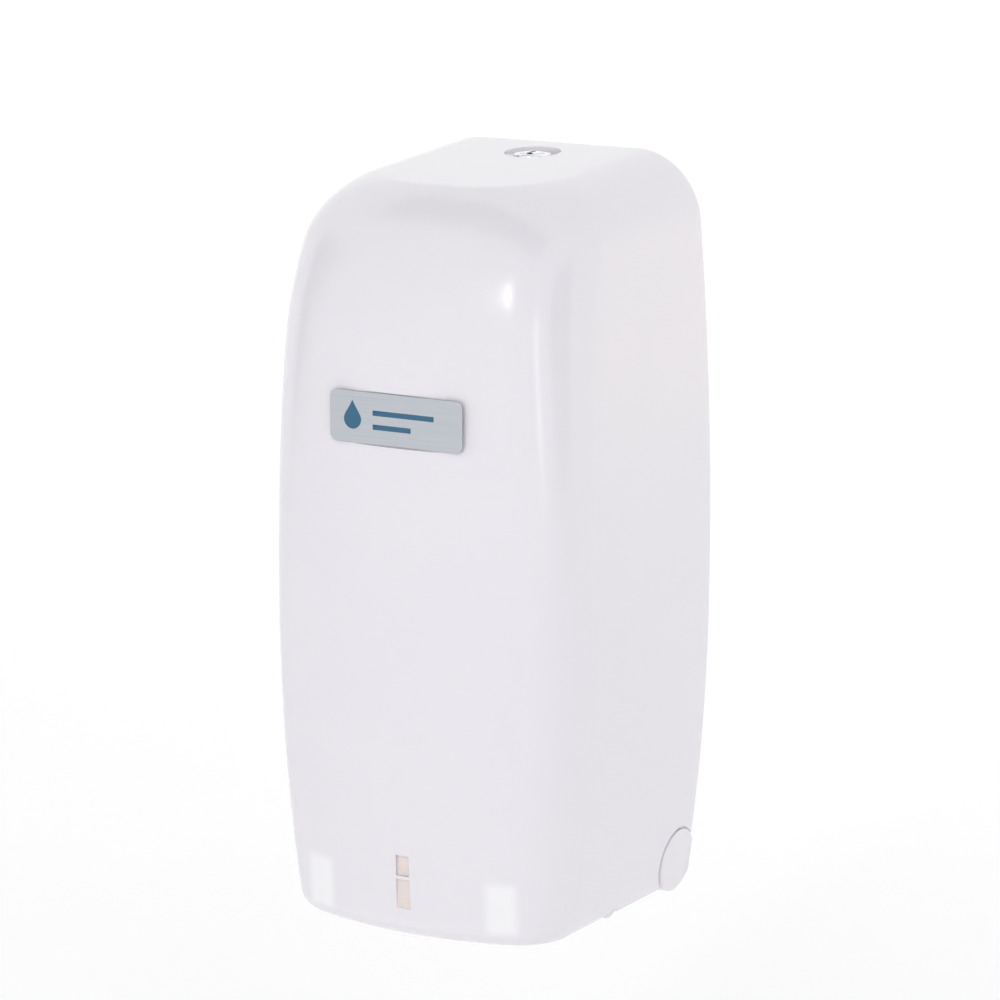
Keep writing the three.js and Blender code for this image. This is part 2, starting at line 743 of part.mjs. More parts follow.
// ---- Gear train
function gearSolid(teeth, width, phase, [x, out, up], boreRadius) {
  const pitch = teeth * gearModule / 2;
  const shape = new THREE.Shape();
  const toothTurn = (2 * Math.PI) / teeth;
  const flank = [[pitch - 1.15 * gearModule, 0.33], [pitch + 0.9 * gearModule, 0.12]];
  for (let tooth = 0; tooth < teeth; tooth += 1) {
    const middle = phase + tooth * toothTurn;
    const corners = [...flank.map(([r, share]) => [r, -share]), ...flank.map(([r, s]) => [r, s]).reverse()];
    corners.forEach(([radius, share], index) => {
      const angle = middle + share * toothTurn;
      const point = [radius * Math.cos(angle), radius * Math.sin(angle)];
      if (tooth === 0 && index === 0) shape.moveTo(...point);
      else shape.lineTo(...point);
    });
  }
  const gear = new THREE.ExtrudeGeometry(shape, { depth: width, bevelEnabled: false });
  const wheel = solid(gear.rotateX(Math.PI / 2).translate(x, -out, up));
  return cut(wheel, bar(boreRadius, width + 2 * overcut, "out", [x, out - overcut, up], 16));
}

function meshedPlace([x, up], bearing, distance) {
  return [x + distance * Math.cos(bearing), up + distance * Math.sin(bearing)];
}

// A driven wheel has a gap where the other wheel's tooth points at it.
function meshedPhase(bearing, teeth) {
  return bearing + Math.PI + Math.PI / teeth;
}

const rotorPlace = [rotorX, rotorUp];
const idlerPlace = meshedPlace(rotorPlace, idlerBearing, gearModule * (outputTeeth + pinionTeeth) / 2);
const motorPlace = meshedPlace(idlerPlace, motorBearing, gearModule * (idlerTeeth + pinionTeeth) / 2);
const gearPlane = gearboxOut + gearboxWall + 2;
const pumpOut = spoutOut - pumpDepth / 2 - pumpBack / 2 + 0.3;

function placeAt([x, up], out) {
  return [x, out, up];
}

function makeGearbox() {
  const half = raceRadius + raceWall;
  const low = chassisLow + 3;
  const high = rotorUp + half;
  const span = [rotorX - half, rotorX + half];
  const box = block(span, [gearboxOut, pumpOut - gap], [low, high]);
  const room = block([span[0] + gearboxWall, span[1] - gearboxWall],
    [gearboxOut + gearboxWall, pumpOut + overcut], [low + gearboxWall, high - gearboxWall]);
  return cut(
    box, room,
    bar(shaftRadius + pinFit, 3 * gearboxWall, "out", placeAt(rotorPlace, gearboxOut - gearboxWall)),
    bar(idlerShaftRadius + 0.1, 3 * gearboxWall, "out", placeAt(idlerPlace, gearboxOut - gearboxWall), 16),
    bar(motorRadius / 4 + pinFit, 3 * gearboxWall, "out", placeAt(motorPlace, gearboxOut - gearboxWall)),
  );
}

function makeMotorCase() {
  const front = gearboxOut - gap;
  const can = bar(motorRadius, motorLength, "out", placeAt(motorPlace, front - motorLength), 28);
  const boss = bar(motorRadius / 4, gearboxWall, "out", placeAt(motorPlace, front - 0.1));
  const bore = bar(motorShaftRadius + pinFit, motorLength, "out", placeAt(motorPlace, front - 6), 16);
  return cut(join(can, boss), bore);
}

function makeMotorShaft() {
  return bar(motorShaftRadius, gearPlane + gearWidth + 1 - gearboxOut + 4, "out",
    placeAt(motorPlace, gearboxOut - 4), 16);
}

function makeMotorPinion() {
  return gearSolid(pinionTeeth, gearWidth + 0.6, meshedPhase(motorBearing, pinionTeeth),
    placeAt(motorPlace, gearPlane - 0.3), motorShaftRadius + 0.05);
}

// The idler is one moulding: a wheel that the motor turns, and a pinion that turns the output wheel.
function makeIdlerGear() {
  const wheel = gearSolid(idlerTeeth, gearWidth, motorBearing, placeAt(idlerPlace, gearPlane),
    idlerShaftRadius + 0.1);
  const pinion = gearSolid(pinionTeeth, gearWidth + 3, meshedPhase(idlerBearing, pinionTeeth),
    placeAt(idlerPlace, gearPlane + gearWidth - 0.1), idlerShaftRadius + 0.1);
  return join(wheel, pinion);
}

function makeIdlerShaft() {
  return bar(idlerShaftRadius, pumpOut - gap - gearboxOut - 0.4,
    "out", placeAt(idlerPlace, gearboxOut), 16);
}

function makeOutputGear() {
  const out = gearPlane + gearWidth + 1.4;
  const wheel = gearSolid(outputTeeth, gearWidth, idlerBearing, placeAt(rotorPlace, out), shaftRadius + 0.05);
  const hub = bar(5, gearWidth + 2, "out", placeAt(rotorPlace, out - 2));
  return cut(join(wheel, hub), bar(shaftRadius + 0.05, 20, "out", placeAt(rotorPlace, out - 8)));
}

function makeRotorShaft() {
  const start = gearboxOut + 0.3;
  return bar(shaftRadius, pumpOut + pumpBack + pumpDepth - start + 1, "out", placeAt(rotorPlace, start));
}

// ---- Pump: a race open on the side where the tube comes in and goes out
function makePumpBody() {
  const half = raceRadius + raceWall;
  const far = pumpOut + pumpBack + pumpDepth;
  const body = block([rotorX - half, rotorX + half], [pumpOut, far], [rotorUp - half, rotorUp + half]);
  const race = bar(raceRadius, pumpDepth + overcut, "out", placeAt(rotorPlace, pumpOut + pumpBack), 40);
  const channels = [-1, 1].map((side) => {
    const edge = rotorUp + side * (raceRadius - 2 * tubeRadius - 0.6);
    const ends = [edge, rotorUp + side * (half + overcut)].sort((a, b) => a - b);
    return block([rotorX, rotorX + half + overcut], [pumpOut + pumpBack, far + overcut], ends);
  });
  const screwHoles = pumpScrewPlaces().map((place) => bar(1.2, 10, "out", placeAt(place, far - 8), 10));
  return cut(body, race, ...channels, ...screwHoles,
    bar(shaftRadius + pinFit, 3 * pumpBack, "out", placeAt(rotorPlace, pumpOut - pumpBack)));
}

function pumpScrewPlaces() {
  const reach = raceRadius + raceWall - 2.8;
  return [[rotorX - reach, rotorUp + reach], [rotorX - reach, rotorUp - reach]];
}

function makePumpCover() {
  const half = raceRadius + raceWall;
  const near = pumpOut + pumpBack + pumpDepth + gap;
  const plate = roundedPlate(2 * half, 2 * half, raceWall, pumpCoverThickness, [rotorX, near, rotorUp]);
  const holes = pumpScrewPlaces().map((place) => bar(1.4, 4, "out", placeAt(place, near - 1), 10));
  return cut(plate, ...holes, bar(shaftRadius + pinFit, 6, "out", placeAt(rotorPlace, near - 1)));
}

function makePumpScrew(place) {
  const seat = pumpOut + pumpBack + pumpDepth + gap + pumpCoverThickness;
  const screw = join(
    bar(2.1, 1.4, "out", placeAt(place, seat + 0.1), 14),
    bar(1, 7, "out", placeAt(place, seat - 6.8), 10),
  );
  const [x, up] = place;
  return cut(screw, block([x - 1.5, x + 1.5], [seat + 0.9, seat + 3], [up - 0.3, up + 0.3]));
}

function makePumpRotor() {
  const start = pumpOut + pumpBack + 0.6;
  const disc = bar(rollerOrbit + 2.6, rotorDisc, "out", placeAt(rotorPlace, start), 32);
  const hub = bar(4.4, rotorDisc + rollerLength + 1, "out", placeAt(rotorPlace, start));
  const pins = rollerPlaces().map((place) =>
    bar(rollerPinRadius, rotorDisc + rollerLength + 0.8, "out", placeAt(place, start + 0.1), 16));
  const bore = bar(shaftRadius + 0.05, 30, "out", placeAt(rotorPlace, start - 5));
  return cut(join(disc, hub, ...pins), bore);
}

function rollerPlaces() {
  const places = [];
  for (let roller = 0; roller < rollerCount; roller += 1) {
    places.push(meshedPlace(rotorPlace, Math.PI / 2 + (2 * Math.PI * roller) / rollerCount, rollerOrbit));
  }
  return places;
}

function makeRoller(place) {
  const near = pumpOut + pumpBack + 0.6 + rotorDisc + gap;
  const bore = rollerPinRadius + 0.15;
  return turned([[bore, 0], [rollerRadius, 0], [rollerRadius, rollerLength], [bore, rollerLength],
    [bore, 0]],
    "out", placeAt(place, near), 20);
}

// One silicone tube: down from the tank's socket, round the race, and down to the spout.
function makePumpTube() {
  const radius = raceRadius - tubeRadius - 0.2;
  const socketLow = deckTop - socketDepth() - 1.6;
  const route = new THREE.CurvePath();
  const point = (x, up) => new THREE.Vector3(x, -spoutOut, up);
  const bend = (x, up, size, from, to) => {
    const corner = new THREE.EllipseCurve(x, up, size, size, from, to, to < from);
    return new THREE.CatmullRomCurve3(corner.getPoints(6).map((place) => point(place.x, place.y)));
  };
  route.add(new THREE.LineCurve3(point(0, socketLow), point(0, rotorUp + radius + tubeBend)));
  route.add(bend(-tubeBend, rotorUp + radius + tubeBend, tubeBend, 0, -Math.PI / 2));
  route.add(new THREE.LineCurve3(point(-tubeBend, rotorUp + radius), point(rotorX, rotorUp + radius)));
  const wrap = new THREE.EllipseCurve(rotorX, rotorUp, radius, radius, Math.PI / 2, 1.5 * Math.PI);
  route.add(new THREE.CatmullRomCurve3(wrap.getPoints(14).map((place) => point(place.x, place.y))));
  route.add(new THREE.LineCurve3(point(rotorX, rotorUp - radius), point(-tubeBend, rotorUp - radius)));
  route.add(bend(-tubeBend, rotorUp - radius - tubeBend, tubeBend, Math.PI / 2, 0));
  route.add(new THREE.LineCurve3(point(0, rotorUp - radius - tubeBend), point(0, spoutTop() + gap)));
  const section = new THREE.Shape().absarc(0, 0, tubeRadius, 0, 2 * Math.PI);
  return solid(new THREE.ExtrudeGeometry(section, {
    steps: 52, curveSegments: 4, bevelEnabled: false, extrudePath: route,
  }));
}

// ---- Spout
function spoutTop() {
  return trayLow + trayFloor + spoutBarb;
}

function makeSpout() {
  const bore = spoutBore;
  const floorTop = trayLow + trayFloor;
  return turned([[bore, trayLow - 1], [spoutRadius, trayLow - 1], [spoutRadius, floorTop + 0.2],
    [spoutRadius + spoutFlange, floorTop + 0.2], [spoutRadius + spoutFlange, floorTop + 2.2],
      [3.4, floorTop + 2.2],
    [2.6, spoutTop()], [bore, spoutTop()], [bore, trayLow - 1]], "up", [0, spoutOut, 0]);
}

function makeSpoutTip() {
  const top = trayLow - 1 - 0.2;
  return turned([[0.9, 0.4], [2.4, 0.4], [4.2, top], [0.9, top], [0.9, 0.4]], "up", [0, spoutOut, 0]);
}

// ---- Control board, sensor pair, indicator and the switch board behind the panel
function boardSpan() {
  const far = depthAt(boardUp, coverWall + swingClearance + trayWall) - 8;
  return [far - boardDepth, far];
}

function makeControlBoard() {
  const board = block([-boardHalf, boardHalf], boardSpan(), [boardUp, boardUp + boardThickness]);
  return cut(board, bar(spoutRadius + 4, 4 * boardThickness, "up",
    [0, spoutOut, boardUp - boardThickness]));
}

function makeSensorLed(x) {
  const [near, far] = windowDepth(0);
  const low = trayLow + trayFloor + gap;
  const lens = new THREE.SphereGeometry(2.4, 14, 8).translate(x, -(near + far) / 2, low + 2.4);
  return join(solid(lens), bar(2.4, boardUp - gap - low - 2.4, "up", [x, (near + far) / 2, low + 2.4], 14));
}

function lensDepth() {
  return [frontInnerOut() - swingClearance - 3 * trayWall, frontInnerOut() - 0.7];
}

function makeIndicatorLens() {
  const [near, far] = lensDepth();
  const [low, high] = [slotSegments()[0][0] + 0.4, slotSegments()[1][1] - 0.4];
  const foot = block([-lensHalf(), lensHalf()], [near, far - 0.8], [boardUp + boardThickness + gap, high]);
  const face = block([-slotWidth / 2 + gap, slotWidth / 2 - gap], [far - 1, far], [low, high]);
  return join(foot, face);
}

// The two lamps stand one above the other, so each has its legs on its own side.
function makeIndicatorLed(up, side) {
  const [near] = lensDepth();
  const front = near - gap;
  const dome = bar(1.5, 3.4, "out", [0, front - 4, up], 14);
  const flange = bar(1.9, 1, "out", [0, front - 5, up], 14);
  const across = (from, to) => [side * from, side * to].sort((a, b) => a - b);
  const arm = block(across(0, 3), [front - 5, front - 4.2], [up - 0.5, up + 0.5]);
  const leg = block(across(2.2, 3), [front - 5, front - 4.2], [boardUp + boardThickness + gap, up]);
  return join(dome, flange, arm, leg);
}

const switchBoardOut = panelOut - 7.5;

function makeSwitchBoard() {
  return block([buttonX - 8, switchX + 9], [switchBoardOut - boardThickness, switchBoardOut],
    [controlUp - 5, controlUp + 3.6]);
}

function makeTactSwitch() {
  const near = switchBoardOut + 0.2;
  return join(
    block([buttonX - 3, buttonX + 3], [near, near + 3], [controlUp - 3, controlUp + 3]),
    bar(1.7, 1, "out", [buttonX, near + 2.9, controlUp], 14),
  );
}

function makeTestButton() {
  const near = switchBoardOut + 0.2 + 3.9 + 2;
  const face = panelOut + panelThickness + 2.6;
  return join(
    bar(buttonRadius, face - near - 1.4, "out", [buttonX, near + 1.4, controlUp], 24),
    bar(1.6, 2, "out", [buttonX, near, controlUp], 14),
  );
}

function makeSlideSwitch() {
  const near = switchBoardOut + 0.2;
  const half = knobSize / 2 + switchTravel / 2;
  const box = block([switchX - half - 2.4, switchX + half + 2.4], [near, near + 5],
    [controlUp - 3.2, controlUp + 3.2]);
  const room = block([switchX - half - slideFit, switchX + half + slideFit], [near + 1.5, near + 6],
    [controlUp - knobSize / 2 - slideFit, controlUp + knobSize / 2 + slideFit]);
  return cut(box, room);
}

function makeSwitchKnob() {
  const near = switchBoardOut + 0.2 + 1.5 + gap;
  const left = switchX - switchTravel / 2 - knobSize / 2;
  return block([left, left + knobSize], [near, panelOut + panelThickness + 1.8],
    [controlUp - knobSize / 2, controlUp + knobSize / 2]);
}

// ---- Tank, its outlet seal and its cap
function tankTop() {
  return height - tankTopGap;
}

function tankTopAt(out) {
  return tankTop() - topSlope * out * (tankTop() / height) ** 4;
}

function makeTank() {
  const low = deckTop + gap;
  const inset = coverWall + tankGap;
  const body = casingSolid(inset, low, tankTop(), tankBack, 4);
  const inside = casingSolid(inset + tankWall, low + tankWall, tankTop() - tankWall, tankBack + tankWall, 4);
  const neckUp = tankTopAt(neckOut);
  const neck = bar(neckRadius, neckHeight + tankWall + 3, "up", [0, neckOut, neckUp - tankWall - 3], 32);
  const neckBore = bar(neckRadius - tankWall, 40, "up", [0, neckOut, neckUp - tankWall - 12], 32);
  const spigot = bar(spigotRadius, spigotLength + tankWall, "up", [0, spoutOut, low - spigotLength]);
  const spigotBore = bar(spigotRadius - tankWall, spigotLength + 4 * tankWall, "up",
    [0, spoutOut, low - spigotLength - overcut]);
  const groove = turned([[spigotRadius - 1, 0], [spigotRadius + 2, 0], [spigotRadius + 2, 2.4],
    [spigotRadius - 1, 2.4], [spigotRadius - 1, 0]], "up", [0, spoutOut, low - spigotLength + 2]);
  return cut(join(cut(body, inside), neck, spigot), neckBore, spigotBore, groove);
}

function makeTankSeal() {
  const low = deckTop + gap - spigotLength + 2.2;
  const [inner, outer] = [spigotRadius - 0.85, socketRadius() - 0.12];
  return turned([[inner, 0.4], [inner + 0.4, 0], [outer - 0.4, 0], [outer, 0.4], [outer, 1.6],
    [outer - 0.4, 2], [inner + 0.4, 2], [inner, 1.6], [inner, 0.4]], "up", [0, spoutOut, low]);
}

function makeTankCap() {
  const top = tankTopAt(neckOut) + neckHeight + 0.2;
  const inner = neckRadius + slideFit;
  const outer = inner + capWall;
  const cap = turned([[0, 0], [inner, 0], [inner, -capSkirt], [outer, -capSkirt], [outer, capTop - 1],
    [outer - 1, capTop], [0, capTop]], "up", [0, neckOut, top], 36);
  const grips = [];
  for (let rib = 0; rib < capRibs; rib += 1) {
    const turn = (2 * Math.PI * rib) / capRibs;
    grips.push(bar(capRibRadius, capSkirt, "up",
      [outer * Math.cos(turn), neckOut + outer * Math.sin(turn), top - capSkirt + 1], 6));
  }
  return join(cap, ...grips);
}

// ---- Materials
function plastic(color, roughness, opacity = 1) {
  return new THREE.MeshStandardMaterial({
    color, roughness, metalness: 0, transparent: opacity < 1, opacity,
  });
}

function metal(color, roughness) {
  return new THREE.MeshStandardMaterial({ color, roughness, metalness: 1 });
}

const gloss = plastic(0xe9e7ec, 0.2);
const satin = plastic(0xdcdde0, 0.45);
const darkPlastic = plastic(0x2b2d31, 0.5);
const acetal = plastic(0xf2efe6, 0.4);
const clear = plastic(0xdfe7ea, 0.1, 0.35);
const milky = plastic(0xeef0ee, 0.35, 0.7);
const silicone = plastic(0xe6e2da, 0.6, 0.8);
const blackRubber = plastic(0x26262a, 0.8);
const amber = plastic(0xe3b7a6, 0.25, 0.8);
const steel = metal(0xc3c6ca, 0.3);
const brass = metal(0xc9a45a, 0.35);
const circuit = plastic(0x1f5a3c, 0.5);
const foil = metal(0xb9bdc3, 0.4);
const cellSleeve = plastic(0x3b5a86, 0.35);

// ---- Assembly: every piece stands at its own height above the rim, and the whole hangs from
// the middle of the wall plate's back.
const originUp = (plateLow + height - plateTopGap) / 2;
const dispenser = new THREE.Group();
const aboveRim = new THREE.Group();
aboveRim.position.z = -originUp;
dispenser.add(aboveRim);

function place(name, shape, material) {
  const mesh = new THREE.Mesh(geometryOf(shape), material.clone());
  mesh.name = name;
  aboveRim.add(mesh);
}

place("cover", makeCover(), gloss);
place("badge", makeBadge(), foil);
place("lock_housing", makeLockHousing(), steel);
place("lock_nut", makeLockNut(), steel);
place("lock_plug", makeLockPlug(), brass);
place("lock_cam", makeLockCam(), steel);
place("lock_strike", makeLockStrike(), steel);
place("wall_plate", makeWallPlate(), satin);
place("hinge_pin_left", makeHingePin(-1), steel);
place("hinge_pin_right", makeHingePin(1), steel);
place("base_tray", makeTray(), satin);
place("corner_pad_left", makeCornerPad(-1), acetal);
place("corner_pad_right", makeCornerPad(1), acetal);
place("sensor_window", makeSensorWindow(), darkPlastic);
place("chassis", makeChassis(), satin);
place("front_panel", makeFrontPanel(), satin);
chassisScrewPlaces().forEach((at, index) => place(`chassis_screw_${index + 1}`, makeChassisScrew(at), steel));
place("battery_box", makeBatteryBox(), darkPlastic);
cellPlaces().forEach((at, index) => {
  place(`battery_cell_${index + 1}`, makeCell(at, index % 2 === 0), cellSleeve);
});
place("contact_top_left", makeTopContact(-1), foil);
place("contact_top_right", makeTopContact(1), foil);
place("contact_bottom", makeBottomBridge(), foil);
place("battery_door", makeBatteryDoor(), satin);
place("gearbox", makeGearbox(), darkPlastic);
place("motor_case", makeMotorCase(), steel);
place("motor_shaft", makeMotorShaft(), steel);
place("motor_pinion", makeMotorPinion(), brass);
place("idler_shaft", makeIdlerShaft(), steel);
place("idler_gear", makeIdlerGear(), acetal);
place("output_gear", makeOutputGear(), acetal);
place("rotor_shaft", makeRotorShaft(), steel);
place("pump_body", makePumpBody(), darkPlastic);
place("pump_cover", makePumpCover(), clear);
pumpScrewPlaces().forEach((at, index) => place(`pump_screw_${index + 1}`, makePumpScrew(at), steel));
place("pump_rotor", makePumpRotor(), acetal);
rollerPlaces().forEach((at, index) => place(`pump_roller_${index + 1}`, makeRoller(at), acetal));
place("pump_tube", makePumpTube(), silicone);
place("spout", makeSpout(), satin);
place("spout_tip", makeSpoutTip(), silicone);
place("control_board", makeControlBoard(), circuit);
place("sensor_emitter", makeSensorLed(-7), clear);
place("sensor_receiver", makeSensorLed(7), darkPlastic);
place("indicator_lens", makeIndicatorLens(), amber);
place("indicator_led_lower", makeIndicatorLed(slotUp - slotHeight / 5, -1), amber);
place("indicator_led_upper", makeIndicatorLed(slotUp + slotHeight / 4, 1), amber);
place("switch_board", makeSwitchBoard(), circuit);
place("tact_switch", makeTactSwitch(), darkPlastic);
place("test_button", makeTestButton(), blackRubber);
place("slide_switch", makeSlideSwitch(), foil);
place("switch_knob", makeSwitchKnob(), darkPlastic);
place("tank", makeTank(), milky);
place("tank_seal", makeTankSeal(), blackRubber);
place("tank_cap", makeTankCap(), satin);

export default dispenser;
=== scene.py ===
# Wall mounted, touch-free soap dispenser, in metres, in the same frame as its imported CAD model:
# +Z up, +X to the right of a person who faces it, -Y out of the wall, wall plate's back at Y = 0.
import math

import bmesh
import bpy
from mathutils import Matrix, Vector


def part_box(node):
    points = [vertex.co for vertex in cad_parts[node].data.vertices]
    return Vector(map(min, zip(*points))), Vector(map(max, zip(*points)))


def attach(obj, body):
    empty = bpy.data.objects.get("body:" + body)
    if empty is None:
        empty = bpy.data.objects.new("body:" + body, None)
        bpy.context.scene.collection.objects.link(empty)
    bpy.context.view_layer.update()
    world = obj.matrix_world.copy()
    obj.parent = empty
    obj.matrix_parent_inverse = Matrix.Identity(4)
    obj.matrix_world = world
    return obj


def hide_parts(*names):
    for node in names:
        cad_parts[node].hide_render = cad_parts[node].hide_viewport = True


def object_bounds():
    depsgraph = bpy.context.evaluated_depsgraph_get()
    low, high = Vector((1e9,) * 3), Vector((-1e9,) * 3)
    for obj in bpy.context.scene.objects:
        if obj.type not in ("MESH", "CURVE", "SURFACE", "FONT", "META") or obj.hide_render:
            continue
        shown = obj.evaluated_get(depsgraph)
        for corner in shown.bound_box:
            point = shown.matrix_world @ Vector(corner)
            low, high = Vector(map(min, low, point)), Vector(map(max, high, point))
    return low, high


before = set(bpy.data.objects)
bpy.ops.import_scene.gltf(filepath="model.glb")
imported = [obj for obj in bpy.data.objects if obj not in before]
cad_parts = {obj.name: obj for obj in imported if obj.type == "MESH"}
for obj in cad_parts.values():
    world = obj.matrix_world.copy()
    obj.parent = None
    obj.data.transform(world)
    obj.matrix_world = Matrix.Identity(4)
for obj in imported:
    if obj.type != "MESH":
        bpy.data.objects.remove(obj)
cad_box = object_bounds()

# ---- Camera
# It stands to the right of the dispenser's front and a little above it, far away with a long lens,
# so that upright edges stay nearly parallel.
cover_low, cover_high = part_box("cover")
camera_distance = 1.551
camera_turn = math.radians(30.3)
camera_rise = math.radians(11.8)
aim = Vector((0.0082, -0.0559, cover_low.z + 0.1462))
toward_camera = Vector((
    math.sin(camera_turn) * math.cos(camera_rise),
    -math.cos(camera_turn) * math.cos(camera_rise),
    math.sin(camera_rise),
))
camera_data = bpy.data.cameras.new("camera")
camera_data.sensor_width = 36.0
camera_data.lens = 160.8
camera_data.clip_end = 20.0
camera = bpy.data.objects.new("camera", camera_data)
camera.location = aim + toward_camera * camera_distance
camera.rotation_mode = "QUATERNION"
camera.rotation_quaternion = toward_camera.to_track_quat("Z", "Y")
bpy.context.collection.objects.link(camera)
bpy.context.scene.camera = camera

# ---- Studio
# The floor is a large sheet of matt white board, below the open cover's reach. Soft boxes stand round
# the dispenser, and three dark cards, right, left and overhead, draw the dark bands in its gloss.
mm = 0.001


def linear(hex_colour):
    """An sRGB hex colour as linear red, green, blue and 1."""
    channels = [int(hex_colour[at:at + 2], 16) / 255 for at in (1, 3, 5)]
    return [c / 12.92 if c <= 0.04045 else ((c + 0.055) / 1.055) ** 2.4 for c in channels] + [1.0]


def add_node(material, kind, settings=None, links=None):
    """Adds a node to a material, gives it its settings and feeds its sockets."""
    node = material.node_tree.nodes.new(kind)
    for name, value in (settings or {}).items():
        if isinstance(name, str) and hasattr(node, name):
            setattr(node, name, value)
        else:
            node.inputs[name].default_value = value
    for name, source in (links or {}).items():
        material.node_tree.links.new(source, node.inputs[name])
    return node


def new_material(name):
    """An empty node material, and the place of its points in the dispenser's own frame."""
    material = bpy.data.materials.new(name)
    material.use_nodes = True
    material.node_tree.nodes.clear()
    place = add_node(material, "ShaderNodeTexCoord").outputs["Object"]
    return material, place


def surface(material, settings, links):
    """Closes a material with its surface shader."""
    shader = add_node(material, "ShaderNodeBsdfPrincipled", settings, links)
    add_node(material, "ShaderNodeOutputMaterial", links={"Surface": shader.outputs[0]})


def mixed(material, share, first, second):
    """A colour between two sRGB colours, by a share from 0 to 1."""
    mix = add_node(material, "ShaderNodeMix", {"data_type": "RGBA", 6: linear(first), 7: linear(second)},
                   {0: share})
    return mix.outputs[2]


def as_object(bm, name, material=None, sharp_above=35.0, all_smooth=True):
    """Turns a finished bmesh into an object at the origin, smooth but for its real edges."""
    for edge in bm.edges:
        edge.smooth = len(edge.link_faces) == 2 and edge.calc_face_angle(0.0) < math.radians(sharp_above)
    for face in bm.faces:
        face.smooth = face.smooth or all_smooth
    mesh = bpy.data.meshes.new(name)
    bm.to_mesh(mesh)
    bm.free()
    if material:
        mesh.materials.append(material)
    made = bpy.data.objects.new(name, mesh)
    bpy.context.collection.objects.link(made)
    return made


def white_board():
    """Matt painted board: rough, with a barely uneven coat."""
    material, place = new_material("matt white board")
    coat = add_node(material, "ShaderNodeTexNoise", {"Scale": 3.0, "Detail": 3.0}, {"Vector": place})
    surface(material, {"Roughness": 0.9, "IOR": 1.45},
            {"Base Color": mixed(material, coat.outputs["Fac"], "#FBFBFC", "#FFFFFF")})
    return material


floor_drop = 0.15
floor_half = 6.0
bm = bmesh.new()
bmesh.ops.create_grid(bm, x_segments=8, y_segments=8, size=floor_half)
bmesh.ops.translate(bm, verts=bm.verts, vec=(0, 0, cad_box[0][2] - floor_drop))
floor = as_object(bm, "studio_floor", white_board())

world = bpy.data.worlds.new("white studio")
world.use_nodes = True
world.node_tree.nodes["Background"].inputs["Color"].default_value = (1, 1, 1, 1)
world.node_tree.nodes["Background"].inputs["Strength"].default_value = 1.125
bpy.context.scene.world = world
bpy.context.scene.view_settings.view_transform = "Standard"


def round_about(turn, rise, distance):
    """A place round the dispenser: turned from its front to the right, and risen, in degrees."""
    turn, rise = math.radians(turn), math.radians(rise)
    way = Vector((math.sin(turn) * math.cos(rise), -math.cos(turn) * math.cos(rise), math.sin(rise)))
    return way * distance


def soft_box(name, place, size, watts, colour):
    """A square soft box that faces the dispenser."""
    data = bpy.data.lights.new(name, "AREA")
    data.shape = "RECTANGLE"
    data.size, data.size_y = size
    data.energy = watts
    data.color = linear(colour)[:3]
    light = bpy.data.objects.new(name, data)
    light.location = place
    light.rotation_mode = "QUATERNION"
    light.rotation_quaternion = place.to_track_quat("Z", "Y")
    bpy.context.collection.objects.link(light)


soft_box("corner_strip", round_about(43, 4, 2.4), (0.12, 1.2), 2.6, "#FFFFFF")
soft_box("spot_box", round_about(6, 26, 2.4), (0.17, 0.36), 3.4, "#FFFFFF")
soft_box("side_box", round_about(150, -5, 2.2), (0.9, 1.0), 0.9, "#FFD6AA")


def grey_card():
    """Matt grey card, which takes the white surroundings out of the gloss."""
    material, place = new_material("matt grey card")
    fleck = add_node(material, "ShaderNodeTexNoise", {"Scale": 40.0}, {"Vector": place})
    surface(material, {"Roughness": 0.9, "IOR": 1.45},
            {"Base Color": mixed(material, fleck.outputs["Fac"], "#1C1C20", "#222226")})
    return material


cards = (
    ("corner_card", 76, 6, 2.6, 0.66, 1.0),
    ("overhead_card", -18, 71, 1.5, 1.0, 0.34),
    ("left_card", -72, 8, 2.2, 0.4, 0.9),
)
card_finish = grey_card()
for name, turn, rise, distance, card_half_width, card_half_height in cards:
    middle = round_about(turn, rise, distance)
    facing = middle.to_track_quat("Z", "Y").to_matrix()
    bm = bmesh.new()
    bmesh.ops.create_grid(bm, x_segments=1, y_segments=1, size=1.0)
    bmesh.ops.scale(bm, verts=bm.verts, vec=(card_half_width, card_half_height, 1))
    bmesh.ops.rotate(bm, verts=bm.verts, cent=(0, 0, 0), matrix=facing)
    bmesh.ops.translate(bm, verts=bm.verts, vec=middle)
    as_object(bm, name, card_finish)

# ---- Cover
# One injection moulding in glossy white ABS, 2.4 mm thick and a little translucent, barrel shaped,
# with its rim turned in at the foot; it hangs on two lugs at its lower rear corners.
casing_height = cover_high.z - cover_low.z
half_width = cover_high.x
depth = -cover_low.y
wall_gap = -cover_high.y
widest_up = 130 * mm
deepest_up = 166 * mm
foot_narrowing = 9.6 * mm
crown_narrowing = 7.1 * mm
foot_setback = 4.8 * mm
crown_setback = 28.5 * mm
crown_share = 0.04
roll_height = 60 * mm
roll_fullness = 0.96
top_slope = 0.07
top_radius = 23 * mm
foot_radius = 7.1 * mm
corner_low = 17 * mm
corner_high = 30 * mm
bow_angle = 0.3
wall = 2.4 * mm
straight_side = 51 * mm
rear_foot_rise = 3 * mm
side_columns, corner_columns, front_columns = 14, 16, 16


def quarter_round(share):
    """How far a quarter circle has bent away, from 0 at its start to 1 at its end."""
    held = min(max(share, 0.0), 1.0)
    return 1.0 - math.sqrt(1.0 - held * held)


